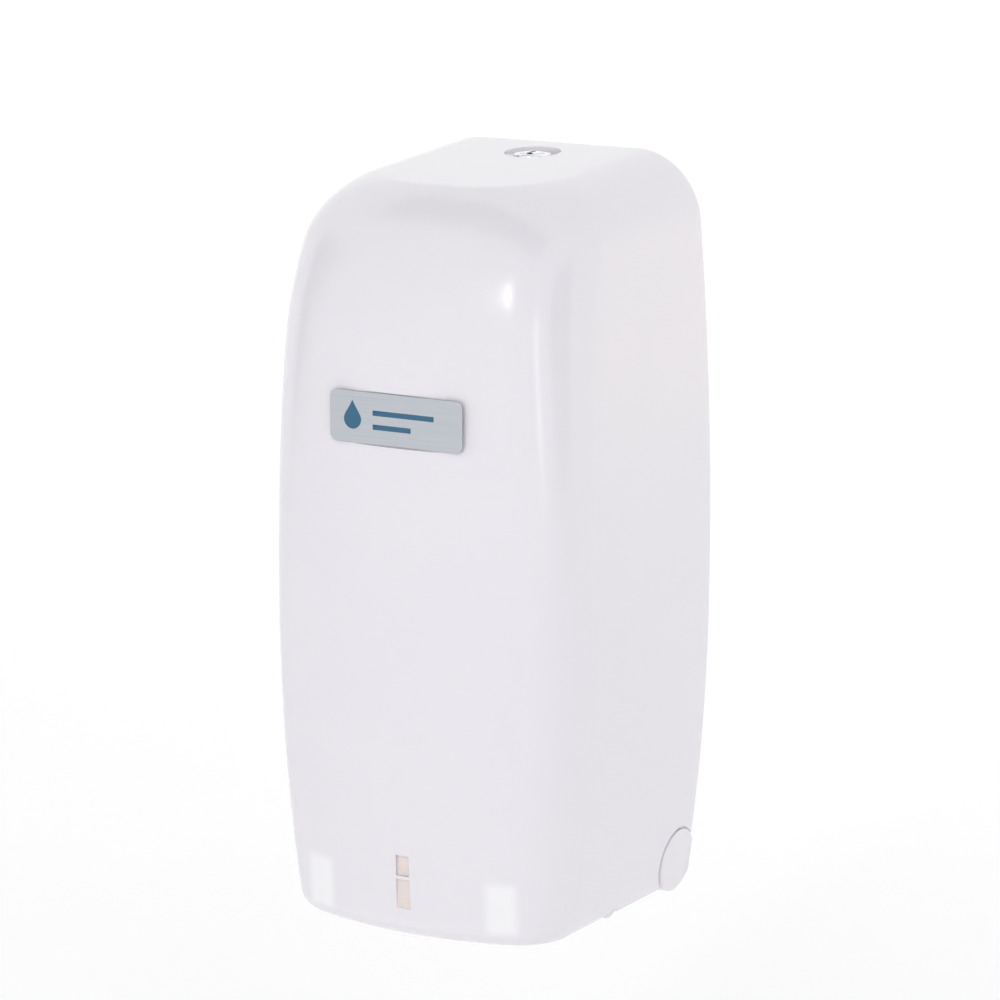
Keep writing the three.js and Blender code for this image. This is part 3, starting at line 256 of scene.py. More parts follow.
def casing_half(up, inset, rounded_foot):
    """Half of the casing's width at a height above its rim, drawn in by an inset."""
    below = max(widest_up - up, 0.0) / widest_up
    above = max(up - widest_up, 0.0) / (casing_height - widest_up)
    barrel = half_width - foot_narrowing * below ** 2.34 - crown_narrowing * above ** 1.96
    bend = top_radius - inset
    top_bend = bend * quarter_round((up - casing_height + top_radius) / bend)
    curl = foot_radius - inset
    foot_bend = curl * quarter_round((foot_radius - up) / curl) if rounded_foot and curl > 0 else 0.0
    return barrel - inset - top_bend - foot_bend


def casing_depth(up, inset):
    """The casing's depth on its centre line at a height above its rim, drawn in by an inset."""
    below = max(deepest_up - up, 0.0) / deepest_up
    above = max(up - deepest_up, 0.0) / (casing_height - deepest_up)
    bulge = depth - foot_setback * below ** 2 - crown_share * depth * above ** 2
    roll = min(max((up - casing_height + roll_height) / (roll_height - inset), 0.0), 1.0)
    rolled = (crown_setback - crown_share * depth) * (1 - math.sqrt(1 - roll_fullness * roll * roll))
    curl = foot_radius - inset
    foot_bend = curl * quarter_round((foot_radius - up) / curl) if curl > 0 else 0.0
    return bulge - inset - rolled / (1 - math.sqrt(1 - roll_fullness)) - foot_bend


def casing_outline(up, inset=0.0, back=None):
    """Half of a plan section as points (across, out), from the rear corner to the centre line."""
    half = casing_half(up, inset, True)
    deep = casing_depth(up, inset)
    radius = corner_low + (corner_high - corner_low) * up / casing_height - inset
    flat_half = half - radius * (1.0 - math.sin(bow_angle))
    bow = flat_half * math.tan(bow_angle) / 2
    corner_out = deep - bow - radius * math.cos(bow_angle)
    back = wall_gap if back is None else back
    points = []
    for step in range(side_columns):
        out = back + (straight_side - back) * step / (side_columns - 1)
        points.append((casing_half(up, inset, False), min(out, corner_out - 2 * mm)))
    points.append((half, min(straight_side + 1 * mm, corner_out - 1 * mm)))
    points.append((half, (min(straight_side + 1 * mm, corner_out - 1 * mm) + corner_out) / 2))
    for step in range(corner_columns + 1):
        angle = (math.pi / 2 - bow_angle) * step / corner_columns
        points.append((half - radius * (1 - math.cos(angle)), corner_out + radius * math.sin(angle)))
    for step in range(1, front_columns + 1):
        across = flat_half * (1 - step / front_columns)
        points.append((across, deep - bow * (across / flat_half) ** 2))
    return points


def casing_sheet(rows, inset=0.0, back=None):
    """A skin of the casing's form, from rows of (height, share of full size, place shrunk to)."""
    half_columns = side_columns + corner_columns + front_columns + 2
    columns = 2 * half_columns
    outlines = [casing_outline(up, inset, back) for up, share, centre_out in rows]
    sheet = bmesh.new()
    bmesh.ops.create_grid(sheet, x_segments=columns, y_segments=len(rows) - 1, size=1.0)
    for vert in sheet.verts:
        column = round((vert.co.x + 1) / 2 * columns)
        row = round((vert.co.y + 1) / 2 * (len(rows) - 1))
        up, share, centre_out = rows[row]
        across, out = outlines[row][min(column, columns - column)]
        across *= -share if column < half_columns else share
        out = centre_out + (out - centre_out) * share
        vert.co = (across, -out, cover_low.z + up - top_slope * out * (up / casing_height) ** 4)
    bmesh.ops.remove_doubles(sheet, verts=sheet.verts, dist=0.01 * mm)
    bmesh.ops.recalc_face_normals(sheet, faces=sheet.faces)
    return sheet


def round_bar(radius, length, axis, start, sides=64):
    """A round bar from its start, across (X), out from the wall (O) or up (Z)."""
    bar = bmesh.new()
    bmesh.ops.create_cone(bar, cap_ends=True, segments=sides, radius1=radius, radius2=radius, depth=length)
    bmesh.ops.translate(bar, verts=bar.verts, vec=(0, 0, length / 2))
    turn_to(bar, axis, start)
    return bar


def turn_to(form, axis, start):
    """Turns a form made along +Z to point across, out from the wall or up, and sets it in place."""
    turns = {"X": ("Y", 90), "O": ("X", 90), "Z": ("Z", 0)}
    about, degrees = turns[axis]
    turning = Matrix.Rotation(math.radians(degrees), 3, about)
    bmesh.ops.rotate(form, verts=form.verts, cent=(0, 0, 0), matrix=turning)
    bmesh.ops.translate(form, verts=form.verts, vec=start)


def brick(low, high):
    """A plain block between two corners."""
    block = bmesh.new()
    bmesh.ops.create_cube(block, size=1.0)
    low, high = Vector(low), Vector(high)
    bmesh.ops.scale(block, verts=block.verts, vec=high - low)
    bmesh.ops.translate(block, verts=block.verts, vec=(low + high) / 2)
    return block


def gathered(forms):
    """Several forms as one."""
    whole = bmesh.new()
    for form in forms:
        mesh = bpy.data.meshes.new("part_of_form")
        form.to_mesh(mesh)
        form.free()
        whole.from_mesh(mesh)
        bpy.data.meshes.remove(mesh)
    return whole


def carve(form, tools, operation, folded=False):
    """Cuts tools out of a form, or joins them to it. A folded form crosses itself inside its wall."""
    piece = as_object(form, "carved")
    helper = as_object(gathered(tools), "carving_tool")
    modifier = piece.modifiers.new("carve", "BOOLEAN")
    modifier.operation = operation
    modifier.solver = "EXACT"
    modifier.use_self = folded
    modifier.object = helper
    solved = bpy.data.meshes.new_from_object(piece.evaluated_get(bpy.context.evaluated_depsgraph_get()))
    carved = bmesh.new()
    carved.from_mesh(solved)
    bpy.data.objects.remove(helper, do_unlink=True)
    bpy.data.objects.remove(piece, do_unlink=True)
    return carved


def flow_and_grain(material, place, flow_size, grain_size, strength):
    """A slow drift of 0 to 1 as melted plastic flows, and the bump of the mould's fine texture."""
    flow = add_node(material, "ShaderNodeTexNoise", {"Scale": 1 / flow_size, "Detail": 2.0},
                    {"Vector": place})
    grain = add_node(material, "ShaderNodeTexNoise", {"Scale": 1 / grain_size, "Detail": 3.0},
                     {"Vector": place})
    bump = add_node(material, "ShaderNodeBump", {"Strength": strength, "Distance": 0.03 * mm},
                    {"Height": grain.outputs["Fac"]})
    return flow.outputs["Fac"], bump.outputs["Normal"]


def gloss_white_abs(pad_low, pad_high):
    """Glossy white ABS that light sinks into a little, with paler squares painted over the pads behind it:
    painted light standing in for light that comes back through the wall from the pads.
    """
    material, place = new_material("gloss white moulded ABS")
    flow, normal = flow_and_grain(material, place, 70 * mm, 0.7 * mm, 0.04)
    axes = add_node(material, "ShaderNodeSeparateXYZ", links={"Vector": place})
    aside = add_node(material, "ShaderNodeMath", {"operation": "ABSOLUTE"}, {0: axes.outputs["X"]})
    # Painted light: a soft mask of squares over the corner pads, where light coming back through the wall is
    # painted into the colour.
    edges = [
        (aside.outputs[0], pad_low.x + 5 * mm, 1), (aside.outputs[0], pad_low.x + 15.5 * mm, -1),
        (axes.outputs["Y"], pad_high.y, -1),
        (axes.outputs["Z"], pad_low.z, 1), (axes.outputs["Z"], pad_high.z, -1),
    ]
    painted_pad_light = None
    for value, edge, side in edges:
        soft = 2.3 * mm * side
        inside = add_node(material, "ShaderNodeMapRange", {
            "interpolation_type": "SMOOTHSTEP", "From Min": edge - soft, "From Max": edge + soft,
        }, {"Value": value}).outputs["Result"]
        if painted_pad_light is None:
            painted_pad_light = inside
        else:
            painted_pad_light = add_node(material, "ShaderNodeMath", {"operation": "MULTIPLY"},
                              {0: painted_pad_light, 1: inside}).outputs[0]
    # The painted light squares lighten the body colour to #EDECEE.
    body = add_node(material, "ShaderNodeMix", {"data_type": "RGBA", 7: linear("#EDECEE")},
                    {0: painted_pad_light, 6: mixed(material, flow, "#E1DFE5", "#E4E1E6")}).outputs[2]
    gloss = add_node(material, "ShaderNodeMapRange", {"To Min": 0.17, "To Max": 0.22}, {"Value": flow})
    surface(material, {
        "IOR": 1.54, "Subsurface Weight": 0.2, "Subsurface Scale": 4 * mm,
        "Subsurface Radius": (1.0, 0.92, 0.88),
    }, {"Base Color": body, "Roughness": gloss.outputs["Result"], "Normal": normal})
    return material


pin_low, pin_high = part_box("hinge_pin_right")
hinge_at = Vector((0, (pin_low.y + pin_high.y) / 2, (pin_low.z + pin_high.z) / 2))
lock_low, lock_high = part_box("lock_housing")
lock_at = Vector((0, (lock_low.y + lock_high.y) / 2, lock_high.z - 1 * mm))
lock_recess, lock_recess_depth = 10 * mm, 1.4 * mm
lug_thickness, lug_radius, lug_arm = 4.6 * mm, 6.5 * mm, 24 * mm
ear_radius, ear_gap, swing_room = 11.5 * mm, 0.8 * mm, 1.8 * mm
slot_half, slot_low, slot_high = 2.6 * mm, 11.0 * mm, 30.0 * mm
slot_bridge_up, slot_bridge = 22.0 * mm, 1.2 * mm
lock_boss, lock_boss_length, lock_bore = 12 * mm, 3.9 * mm, 5.2 * mm
pin_bore = 2.4 * mm
badge_gap, badge_trim, pocket_corner = 0.4 * mm, 1.8 * mm, 3 * mm

foot_rows = [foot_radius * (1 - math.cos(math.pi / 2 * step / 8)) for step in range(9)]
shaft_rows = [foot_radius + (casing_height - roll_height - foot_radius) * step / 40 for step in range(1, 41)]
crown_rows = [casing_height - roll_height * (1 - math.sin(math.pi / 2 * step / 40)) for step in range(1, 41)]
cover_rows = [(up, 1.0, wall_gap) for up in foot_rows + shaft_rows + crown_rows]
cover_rows += [(casing_height, 1 - step / 24, wall_gap) for step in range(1, 25)]
form = casing_sheet(cover_rows)
if max(form.faces, key=lambda face: face.calc_center_median().z).normal.z < 0:
    bmesh.ops.reverse_faces(form, faces=form.faces)
sheet = as_object(form, "cover_sheet")
shell = sheet.modifiers.new("wall", "SOLIDIFY")
shell.thickness = wall
shell.offset = -1
shell.use_even_offset = True
solid_shell = bpy.data.meshes.new_from_object(sheet.evaluated_get(bpy.context.evaluated_depsgraph_get()))
bpy.data.objects.remove(sheet, do_unlink=True)
form = bmesh.new()
form.from_mesh(solid_shell)

boss_low = lock_at.z + lock_recess_depth - wall - 3.6 * mm
additions = [round_bar(lock_boss, lock_boss_length, "Z", (0, lock_at.y, boss_low))]
for side in (-1, 1):
    lug_near = pin_low.x if side > 0 else -pin_low.x - lug_thickness
    hub_side = [side * pin_low.x, side * (pin_low.x + lug_thickness)]
    foot_side = [side * pin_low.x, side * (casing_half(5.5 * mm, wall / 2, False))]
    additions.append(round_bar(lug_radius, lug_thickness, "X", (lug_near, hinge_at.y, hinge_at.z)))
    additions.append(brick((min(hub_side), hinge_at.y - lug_arm, hinge_at.z - lug_radius),
                           (max(hub_side), hinge_at.y, hinge_at.z + lug_radius)))
    additions.append(brick((min(foot_side), hinge_at.y - lug_arm, hinge_at.z - lug_radius),
                           (max(foot_side), hinge_at.y - ear_radius - swing_room, hinge_at.z + lug_radius)))
ears_and_foot = [
    round_bar(ear_radius + ear_gap, 4 * half_width, "X", (-2 * half_width, hinge_at.y, hinge_at.z), 128),
    brick((-2 * half_width, hinge_at.y, cover_low.z - 1 * mm), (2 * half_width, 1 * mm, hinge_at.z)),
    brick((-2 * half_width, -straight_side - 0.5 * mm, cover_low.z - 1 * mm),
          (2 * half_width, 1 * mm, cover_low.z + rear_foot_rise)),
]
slot_floor = -depth + 20 * mm
openings = [
    round_bar(lock_recess, 5 * mm, "Z", (0, lock_at.y, lock_at.z), 128),
    round_bar(lock_bore, 20 * mm, "Z", (0, lock_at.y, lock_at.z - 12 * mm)),
    round_bar(pin_bore, 4 * half_width, "X", (-2 * half_width, hinge_at.y, hinge_at.z)),
    brick((-slot_half, -depth - 1 * mm, cover_low.z + slot_low),
          (slot_half, slot_floor, cover_low.z + slot_bridge_up - slot_bridge / 2)),
    brick((-slot_half, -depth - 1 * mm, cover_low.z + slot_bridge_up + slot_bridge / 2),
          (slot_half, slot_floor, cover_low.z + slot_high)),
]
# The badge and its pocket are trimmed at their lower edge.
badge_low, badge_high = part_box("badge")
badge_low = badge_low + Vector((0, 0, badge_trim))
pocket = brick((badge_low.x - badge_gap, -depth - 1 * mm, badge_low.z - badge_gap),
               (badge_high.x + badge_gap, badge_high.y - 0.1 * mm, badge_high.z + badge_gap))
upright = [edge for edge in pocket.edges if abs(edge.verts[0].co.y - edge.verts[1].co.y) > 1 * mm]
bmesh.ops.bevel(pocket, geom=upright, offset=pocket_corner, segments=8, profile=0.5, affect="EDGES",
                material=-1)
form = carve(form, ears_and_foot, "DIFFERENCE", True)
form = carve(form, additions, "UNION", True)
form = carve(form, openings + [pocket], "DIFFERENCE", True)
# The right corner pad's box places the painted light squares on the cover's front.
pad_low, pad_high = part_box("corner_pad_right")
cover = as_object(form, "cover_shell", gloss_white_abs(pad_low, pad_high))
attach(cover, "cover")
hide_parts("cover")

# ---- Badge
# A thin brushed aluminium plate glued in a shallow pocket on the front. Its print is a plain drop
# and two bars, in dark blue ink.
badge_corner = 2.6 * mm
ink, bar_width = 0.05 * mm, 1.8 * mm


def worked_metal(name, light, dark, roughness, marks, grain=0.15 * mm, strength=0.15):
    """Bright metal whose tool marks run along one axis: marks gives their length on X, Y and Z in mm."""
    material, place = new_material(name)
    stretch = add_node(material, "ShaderNodeMapping", {"Scale": [grain / (length * mm) for length in marks]},
                       {"Vector": place})
    lines = add_node(material, "ShaderNodeTexNoise", {"Scale": 1 / grain, "Detail": 4.0},
                     {"Vector": stretch.outputs["Vector"]})
    bump = add_node(material, "ShaderNodeBump", {"Strength": strength, "Distance": 0.02 * mm},
                    {"Height": lines.outputs["Fac"]})
    rough = add_node(material, "ShaderNodeMapRange", {"To Min": roughness * 0.8, "To Max": roughness * 1.25},
                     {"Value": lines.outputs["Fac"]})
    surface(material, {"Metallic": 1.0}, {
        "Base Color": mixed(material, lines.outputs["Fac"], dark, light),
        "Roughness": rough.outputs["Result"], "Normal": bump.outputs["Normal"],
    })
    return material


def moulded(name, light, dark, roughness, grain_size=0.5 * mm, strength=0.25, ior=1.53, subsurface=0.0):
    """A moulded plastic or rubber: a slow drift in its colour and gloss, and a fine even texture."""
    material, place = new_material(name)
    flow, normal = flow_and_grain(material, place, 30 * mm, grain_size, strength)
    gloss = add_node(material, "ShaderNodeMapRange", {"To Min": roughness * 0.88, "To Max": roughness * 1.12},
                     {"Value": flow})
    surface(material, {
        "IOR": ior, "Subsurface Weight": subsurface, "Subsurface Scale": 2 * mm,
        "Subsurface Radius": (1.0, 0.95, 0.9),
    }, {
        "Base Color": mixed(material, flow, dark, light), "Roughness": gloss.outputs["Result"],
        "Normal": normal,
    })
    return material


def ease_edges(form, size, segments=3, above=32.0):
    """Rounds every edge sharper than an angle, as a mould or a file leaves it."""
    curved = set()
    for edge in form.edges:
        if len(edge.link_faces) == 2 and 0.5 < math.degrees(edge.calc_face_angle(0.0)) < above:
            curved.update(edge.link_faces)
    for face in form.faces:
        face.smooth = face in curved
    sharp = [edge for edge in form.edges if len(edge.link_faces) == 2 and
             math.degrees(edge.calc_face_angle(0.0)) >= above]
    rounded = bmesh.ops.bevel(form, geom=sharp, offset=size, segments=segments, profile=0.5, affect="EDGES",
                              material=-1, clamp_overlap=False)
    for face in rounded["faces"]:
        face.smooth = True
    return form


form = brick(badge_low, badge_high)
upright = [edge for edge in form.edges if abs(edge.verts[0].co.y - edge.verts[1].co.y) > 0.1 * mm]
bmesh.ops.bevel(form, geom=upright, offset=badge_corner, segments=10, profile=0.5, affect="EDGES",
                material=-1)
ease_edges(form, 0.15 * mm, 2)
brushed_aluminium = worked_metal("brushed aluminium", "#C9CDD2", "#AEB3B9", 0.36, (30, 0.3, 0.3), 0.3 * mm)
badge = as_object(form, "badge_plate", brushed_aluminium, 50, False)
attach(badge, "cover")
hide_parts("badge")

badge_middle = (badge_low.z + badge_high.z) / 2
drop_x, drop_radius = badge_low.x + 9 * mm, 3.4 * mm
drop = bmesh.new()
bmesh.ops.create_circle(drop, cap_ends=True, segments=48, radius=drop_radius)
for vert in drop.verts:
    lift = max(vert.co.y, 0.0) / drop_radius
    vert.co.y += 0.9 * drop_radius * lift ** 3
    vert.co.x *= 1 - 0.75 * lift ** 3
bars = []
for rise, length in ((1.9 * mm, 24 * mm), (-2.9 * mm, 15 * mm)):
    start = Vector((drop_x + 8 * mm, badge_low.y - ink, badge_middle + rise - bar_width / 2))
    bars.append(ease_edges(brick(start, start + Vector((length, 1.2 * ink, bar_width))), 0.02 * mm, 1))
face_out = bmesh.ops.extrude_face_region(drop, geom=drop.faces[:])
raised = [item for item in face_out["geom"] if isinstance(item, bmesh.types.BMVert)]
bmesh.ops.translate(drop, verts=raised, vec=(0, 0, 1.2 * ink))
bmesh.ops.recalc_face_normals(drop, faces=drop.faces)
turn_to(drop, "O", (drop_x, badge_low.y + 0.2 * ink, badge_middle - 0.8 * mm))
blue_ink = moulded("dark blue screen ink", "#2C6483", "#275B79", 0.4, 0.2 * mm, 0.3, 1.5)
print_on_badge = as_object(gathered([drop] + bars), "badge_print", blue_ink, 50)
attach(print_on_badge, "cover")

# ---- Lock in the top of the cover
# A cam lock of nickel-plated zinc: a threaded barrel with a flange, held under the cover by a
# hexagonal nut, and a plug with a keyway that turns the steel cam behind the strike.


def turned(profile, axis, start, steps=64):
    """A turned form from (radius, distance along) points in mm, along X, out from the wall or up."""
    lathe = bmesh.new()
    verts = [lathe.verts.new((radius * mm, 0, along * mm)) for radius, along in profile]
    edges = [lathe.edges.new(pair) for pair in zip(verts, verts[1:])]
    bmesh.ops.spin(lathe, geom=verts + edges, cent=(0, 0, 0), axis=(0, 0, 1), dvec=(0, 0, 0),
                   angle=2 * math.pi, steps=steps, use_merge=True)
    bmesh.ops.remove_doubles(lathe, verts=lathe.verts, dist=0.001 * mm)
    bmesh.ops.recalc_face_normals(lathe, faces=lathe.faces)
    turn_to(lathe, axis, start)
    return lathe


def node_form(node):
    """A node's own shape, with the triangles of each flat merged into one face."""
    own = bmesh.new()
    own.from_mesh(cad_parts[node].data)
    bmesh.ops.remove_doubles(own, verts=own.verts, dist=0.004 * mm)
    bmesh.ops.dissolve_limit(own, angle_limit=math.radians(0.6), verts=own.verts, edges=own.edges)
    return own


def finish_nodes(nodes, body, material, size, segments=2):
    """Eases the edges of nodes whose shape is right, and gives them their material."""
    for node in nodes:
        piece = as_object(ease_edges(node_form(node), size, segments), node + "_piece", material, 50, False)
        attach(piece, body)
        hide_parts(node)


nickel = worked_metal("nickel-plated zinc", "#ECEDEF", "#E0E1E4", 0.16, (0.6, 0.6, 0.6), 0.4 * mm, 0.08)
zinc_steel = worked_metal("zinc-plated steel", "#C3C7CC", "#A9AEB4", 0.34, (1.2, 1.2, 1.2), 0.5 * mm, 0.12)
thread = []
for turn in range(13):
    thread += [(5.0, -14.2 + 0.8 * turn), (4.65, -13.8 + 0.8 * turn)]
flange = [(5.0, 0.1), (6.6, 0.1), (6.6, 0.55), (6.35, 0.85), (5.9, 1.0), (3.8, 1.0), (3.4, 0.7), (3.4, -15)]
form = turned([(3.4, -15), (4.7, -15)] + thread + flange, "Z", lock_at)
housing = as_object(form, "lock_housing_piece", nickel, 40)
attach(housing, "cover")
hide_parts("lock_housing")

plug_low, plug_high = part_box("lock_plug")
plug_base = (plug_low.z - lock_at.z) / mm
plug_top = (plug_high.z - lock_at.z) / mm
form = turned([(0, plug_base), (1.9, plug_base), (1.9, plug_base + 3.2), (3.2, plug_base + 3.2),
               (3.2, plug_top - 0.4), (2.8, plug_top), (0, plug_top)], "Z", lock_at)
keyway = brick((-0.6 * mm, lock_at.y - 2.2 * mm, lock_at.z - 4 * mm),
               (0.6 * mm, lock_at.y + 2.2 * mm, plug_high.z + 1 * mm))
form = carve(form, [keyway], "DIFFERENCE")
plug = as_object(form, "lock_plug_piece", nickel, 35)
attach(plug, "lock")
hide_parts("lock_plug")

finish_nodes(["lock_nut"], "cover", zinc_steel, 0.35 * mm)
finish_nodes(["lock_cam"], "lock", zinc_steel, 0.3 * mm)
finish_nodes(["lock_strike"], "base", zinc_steel, 0.3 * mm)

# ---- Indicator
# Two pink-tinted windows are pressed into the slot in the cover's front. Behind them a pink
# polycarbonate light guide stands on the control board, with two small lamps one above the other.


def clear_moulding(name, colour, roughness, see_through, ior, wave=8 * mm, subsurface=0.0):
    """A moulding that light passes through, with the slight waves that moulding leaves."""
    material, place = new_material(name)
    flow, normal = flow_and_grain(material, place, wave, 1.5 * mm, 0.08)
    rough = add_node(material, "ShaderNodeMapRange", {"To Min": roughness * 0.85, "To Max": roughness * 1.15},
                     {"Value": flow})
    surface(material, {
        "IOR": ior, "Transmission Weight": see_through, "Subsurface Weight": subsurface,
        "Subsurface Scale": 3 * mm, "Subsurface Radius": (1.0, 0.95, 0.9),
    }, {
        "Base Color": mixed(material, flow, *colour), "Roughness": rough.outputs["Result"],
        "Normal": normal,
    })
    return material


window_inset, window_thickness = 0.5 * mm, 1.4 * mm
window_skin = -casing_depth(slot_bridge_up, 0.0) + window_inset
pink_window = clear_moulding("pink-tinted window", ("#E5D8D3", "#E8DCD8"), 0.28, 0.05, 1.58, 6 * mm, 0.3)
bridge_low, bridge_high = slot_bridge_up - slot_bridge / 2, slot_bridge_up + slot_bridge / 2
panes = []
for low, high in ((slot_low, bridge_low), (bridge_high, slot_high)):
    pane = brick((-slot_half, window_skin, cover_low.z + low),
                 (slot_half, window_skin + window_thickness, cover_low.z + high))
    panes.append(ease_edges(pane, 0.2 * mm, 2))
window = as_object(gathered(panes), "indicator_window", pink_window, 50)
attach(window, "cover")

pink_guide = clear_moulding("pink polycarbonate", ("#E9CDC6", "#EDD5CF"), 0.25, 0.1, 1.58, 6 * mm, 0.3)
finish_nodes(["indicator_lens"], "base", pink_guide, 0.25 * mm)
finish_nodes(["indicator_led_lower", "indicator_led_upper"], "base", pink_guide, 0.12 * mm)

# ---- Wall plate, hinge pins and chassis screws
# A moulded ABS plate that is screwed to the wall through four slots. Its two ears carry the steel
# pins that the cover swings on.
satin_white = moulded("satin white moulded ABS", "#E5E2E8", "#E1DFE5", 0.3, 0.35 * mm, 0.35, 1.53, 0.1)
finish_nodes(["wall_plate"], "base", satin_white, 0.3 * mm)
# Its back lies flat on the wall, so its eased edges are kept from standing past it.
for vert in bpy.data.objects["wall_plate_piece"].data.vertices:
    vert.co.y = min(vert.co.y, 0.0)
finish_nodes(["hinge_pin_left", "hinge_pin_right", "chassis_screw_1", "chassis_screw_2", "pump_screw_1",
              "pump_screw_2"], "base", zinc_steel, 0.15 * mm)

# ---- Base tray with its corner pads, sensor window and spout
# The tray is a moulded ABS dish that closes the underside. Two acetal pads at its front corners
# steady the closed cover, and a smoked acrylic window lets the hand sensor see down.
finish_nodes(["base_tray"], "base", satin_white, 0.35 * mm, 3)
natural_acetal = moulded("natural acetal", "#F3F1EA", "#EAE7DE", 0.38, 0.6 * mm, 0.2, 1.48, 0.2)
finish_nodes(["corner_pad_left", "corner_pad_right"], "base", natural_acetal, 0.3 * mm)
smoked = clear_moulding("smoked acrylic", ("#17121A", "#1D1720"), 0.12, 0.25, 1.49, 9 * mm)
finish_nodes(["sensor_window"], "base", smoked, 0.3 * mm, 3)

spout_low, spout_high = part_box("spout")
spout_at = ((spout_low.x + spout_high.x) / 2, (spout_low.y + spout_high.y) / 2, spout_low.z)
spout_rise = (spout_high.z - spout_low.z) / mm
form = turned([(1.6, 0), (5.4, 0), (6, 0.6), (6, 3.7), (8.5, 3.7), (8.5, 5.3), (8.1, 5.7), (3.6, 5.7),
               (3.2, 6.2), (2.6, spout_rise - 4), (2.9, spout_rise - 2.6), (2.2, spout_rise),
               (1.6, spout_rise), (1.6, 0)], "Z", spout_at)
spout = as_object(form, "spout_piece", satin_white)
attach(spout, "base")
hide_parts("spout")

tip_low, tip_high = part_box("spout_tip")
tip_rise = (tip_high.z - tip_low.z) / mm
form = turned([(0.9, 0), (2.1, 0), (2.4, 0.3), (3.3, tip_rise * 0.5), (4.2, tip_rise - 0.3), (4.0, tip_rise),
               (0.9, tip_rise), (0.9, 0)], "Z", (spout_at[0], spout_at[1], tip_low.z))
silicone = clear_moulding("translucent silicone", ("#E6E3DC", "#ECE9E3"), 0.5, 0.35, 1.41, 10 * mm, 0.3)
tip = as_object(form, "spout_tip_piece", silicone)
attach(tip, "base")
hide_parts("spout_tip")

# ---- Chassis, front panel and battery door
# A satin ABS box stands on the wall plate. Its top is the deck for the tank, its bolted-on front
# carries the pump opening and the rails in which the battery door slides up.
finish_nodes(["chassis"], "base", satin_white, 0.3 * mm)
finish_nodes(["front_panel"], "base", satin_white, 0.25 * mm)
finish_nodes(["battery_door"], "battery_door", satin_white, 0.22 * mm)

# ---- Tank, its outlet seal and its cap
# A blow-moulded HDPE bottle, milky and soft edged.
# Its spigot drops into the deck on a rubber ring, and a ribbed polypropylene cap closes its neck.
tank_low, tank_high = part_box("tank")
cap_low, cap_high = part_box("tank_cap")
seal_low, seal_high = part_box("tank_seal")
tank_wall, tank_round, tank_inset = 2 * mm, 5 * mm, 10.4 * mm
tank_back = -tank_high.y
tank_foot = 97.3 * mm
tank_crown = 225 * mm
tank_middle_out = 55 * mm
neck_at = Vector(((cap_low.x + cap_high.x) / 2, (cap_low.y + cap_high.y) / 2, 0))
neck_radius, spigot_radius = 17 * mm, 6 * mm


def tank_form(inset, foot, crown, back, rounding):
    """A closed body of the casing's form, with rounded top and bottom edges."""
    rows = [(foot, step / 8) for step in range(8)]
    steps = 6
    draw_in = rounding / half_width
    for step in range(steps + 1):
        turn = math.pi / 2 * step / steps
        rows.append((foot + rounding * (1 - math.cos(turn)), 1 - draw_in * (1 - math.sin(turn))))
    flank = crown - foot - 2 * rounding
    rows += [(foot + rounding + flank * step / 36, 1.0) for step in range(1, 36)]
    for step in range(steps + 1):
        turn = math.pi / 2 * step / steps
        rows.append((crown - rounding * (1 - math.sin(turn)), 1 - draw_in * (1 - math.cos(turn))))
    rows += [(crown, 1 - step / 8) for step in range(1, 9)]
    body = casing_sheet([(up, share, tank_middle_out) for up, share in rows], inset, back)
    open_edges = [edge for edge in body.edges if len(edge.link_faces) == 1]
    rim = {vert for edge in open_edges for vert in edge.verts}
    opposite = {}
    for vert in rim:
        mirrored = vert.co * Vector((-1, 1, 1))
        opposite[vert] = min(rim, key=lambda other: (other.co - mirrored).length)
    for edge in open_edges:
        first, second = edge.verts
        if first.co.x + second.co.x < 0:
            body.faces.new(dict.fromkeys((first, second, opposite[second], opposite[first])))
    bmesh.ops.remove_doubles(body, verts=body.verts, dist=0.01 * mm)
    bmesh.ops.recalc_face_normals(body, faces=body.faces)
    return body


form = tank_form(tank_inset, tank_foot, tank_crown, tank_back, tank_round)
neck_top = tank_high.z / mm
neck_rings = [(neck_radius / mm, neck_top - 12)]
for turn in range(3):
    ring = neck_top - 5.4 + 1.6 * turn
    neck_rings += [(17.0, ring), (17.25, ring + 0.3), (17.25, ring + 0.6), (17.0, ring + 0.9)]
neck_lip = [(17.0, neck_top - 0.5), (16.5, neck_top), (0, neck_top)]
neck = turned([(0, neck_top - 12)] + neck_rings + neck_lip, "Z", neck_at, 96)
spigot_x, spigot_y = (seal_low.x + seal_high.x) / 2, (seal_low.y + seal_high.y) / 2
spigot = turned([(0, 0), (5.4, 0), (6, 0.6), (6, 2), (5, 2), (5, 4.4), (6, 4.4), (6, 10), (0, 10)], "Z",
                (spigot_x, spigot_y, tank_low.z))
form = carve(form, [neck, spigot], "UNION")
hollow = [
    tank_form(tank_inset + tank_wall, tank_foot + tank_wall, tank_crown - tank_wall,
              tank_back + tank_wall, tank_round - tank_wall),
    round_bar(neck_radius - tank_wall, 40 * mm, "Z", (neck_at.x, neck_at.y, tank_high.z - 22 * mm), 96),
    round_bar(spigot_radius - tank_wall, 18 * mm, "Z", (spigot_x, spigot_y, tank_low.z - 1 * mm)),
]
form = carve(form, hollow, "DIFFERENCE")
hdpe = clear_moulding("blow-moulded natural HDPE", ("#E6E8E6", "#EEEFEC"), 0.38, 0.12, 1.54, 25 * mm, 0.6)
tank = as_object(form, "tank_piece", hdpe, 40)
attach(tank, "tank")
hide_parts("tank")

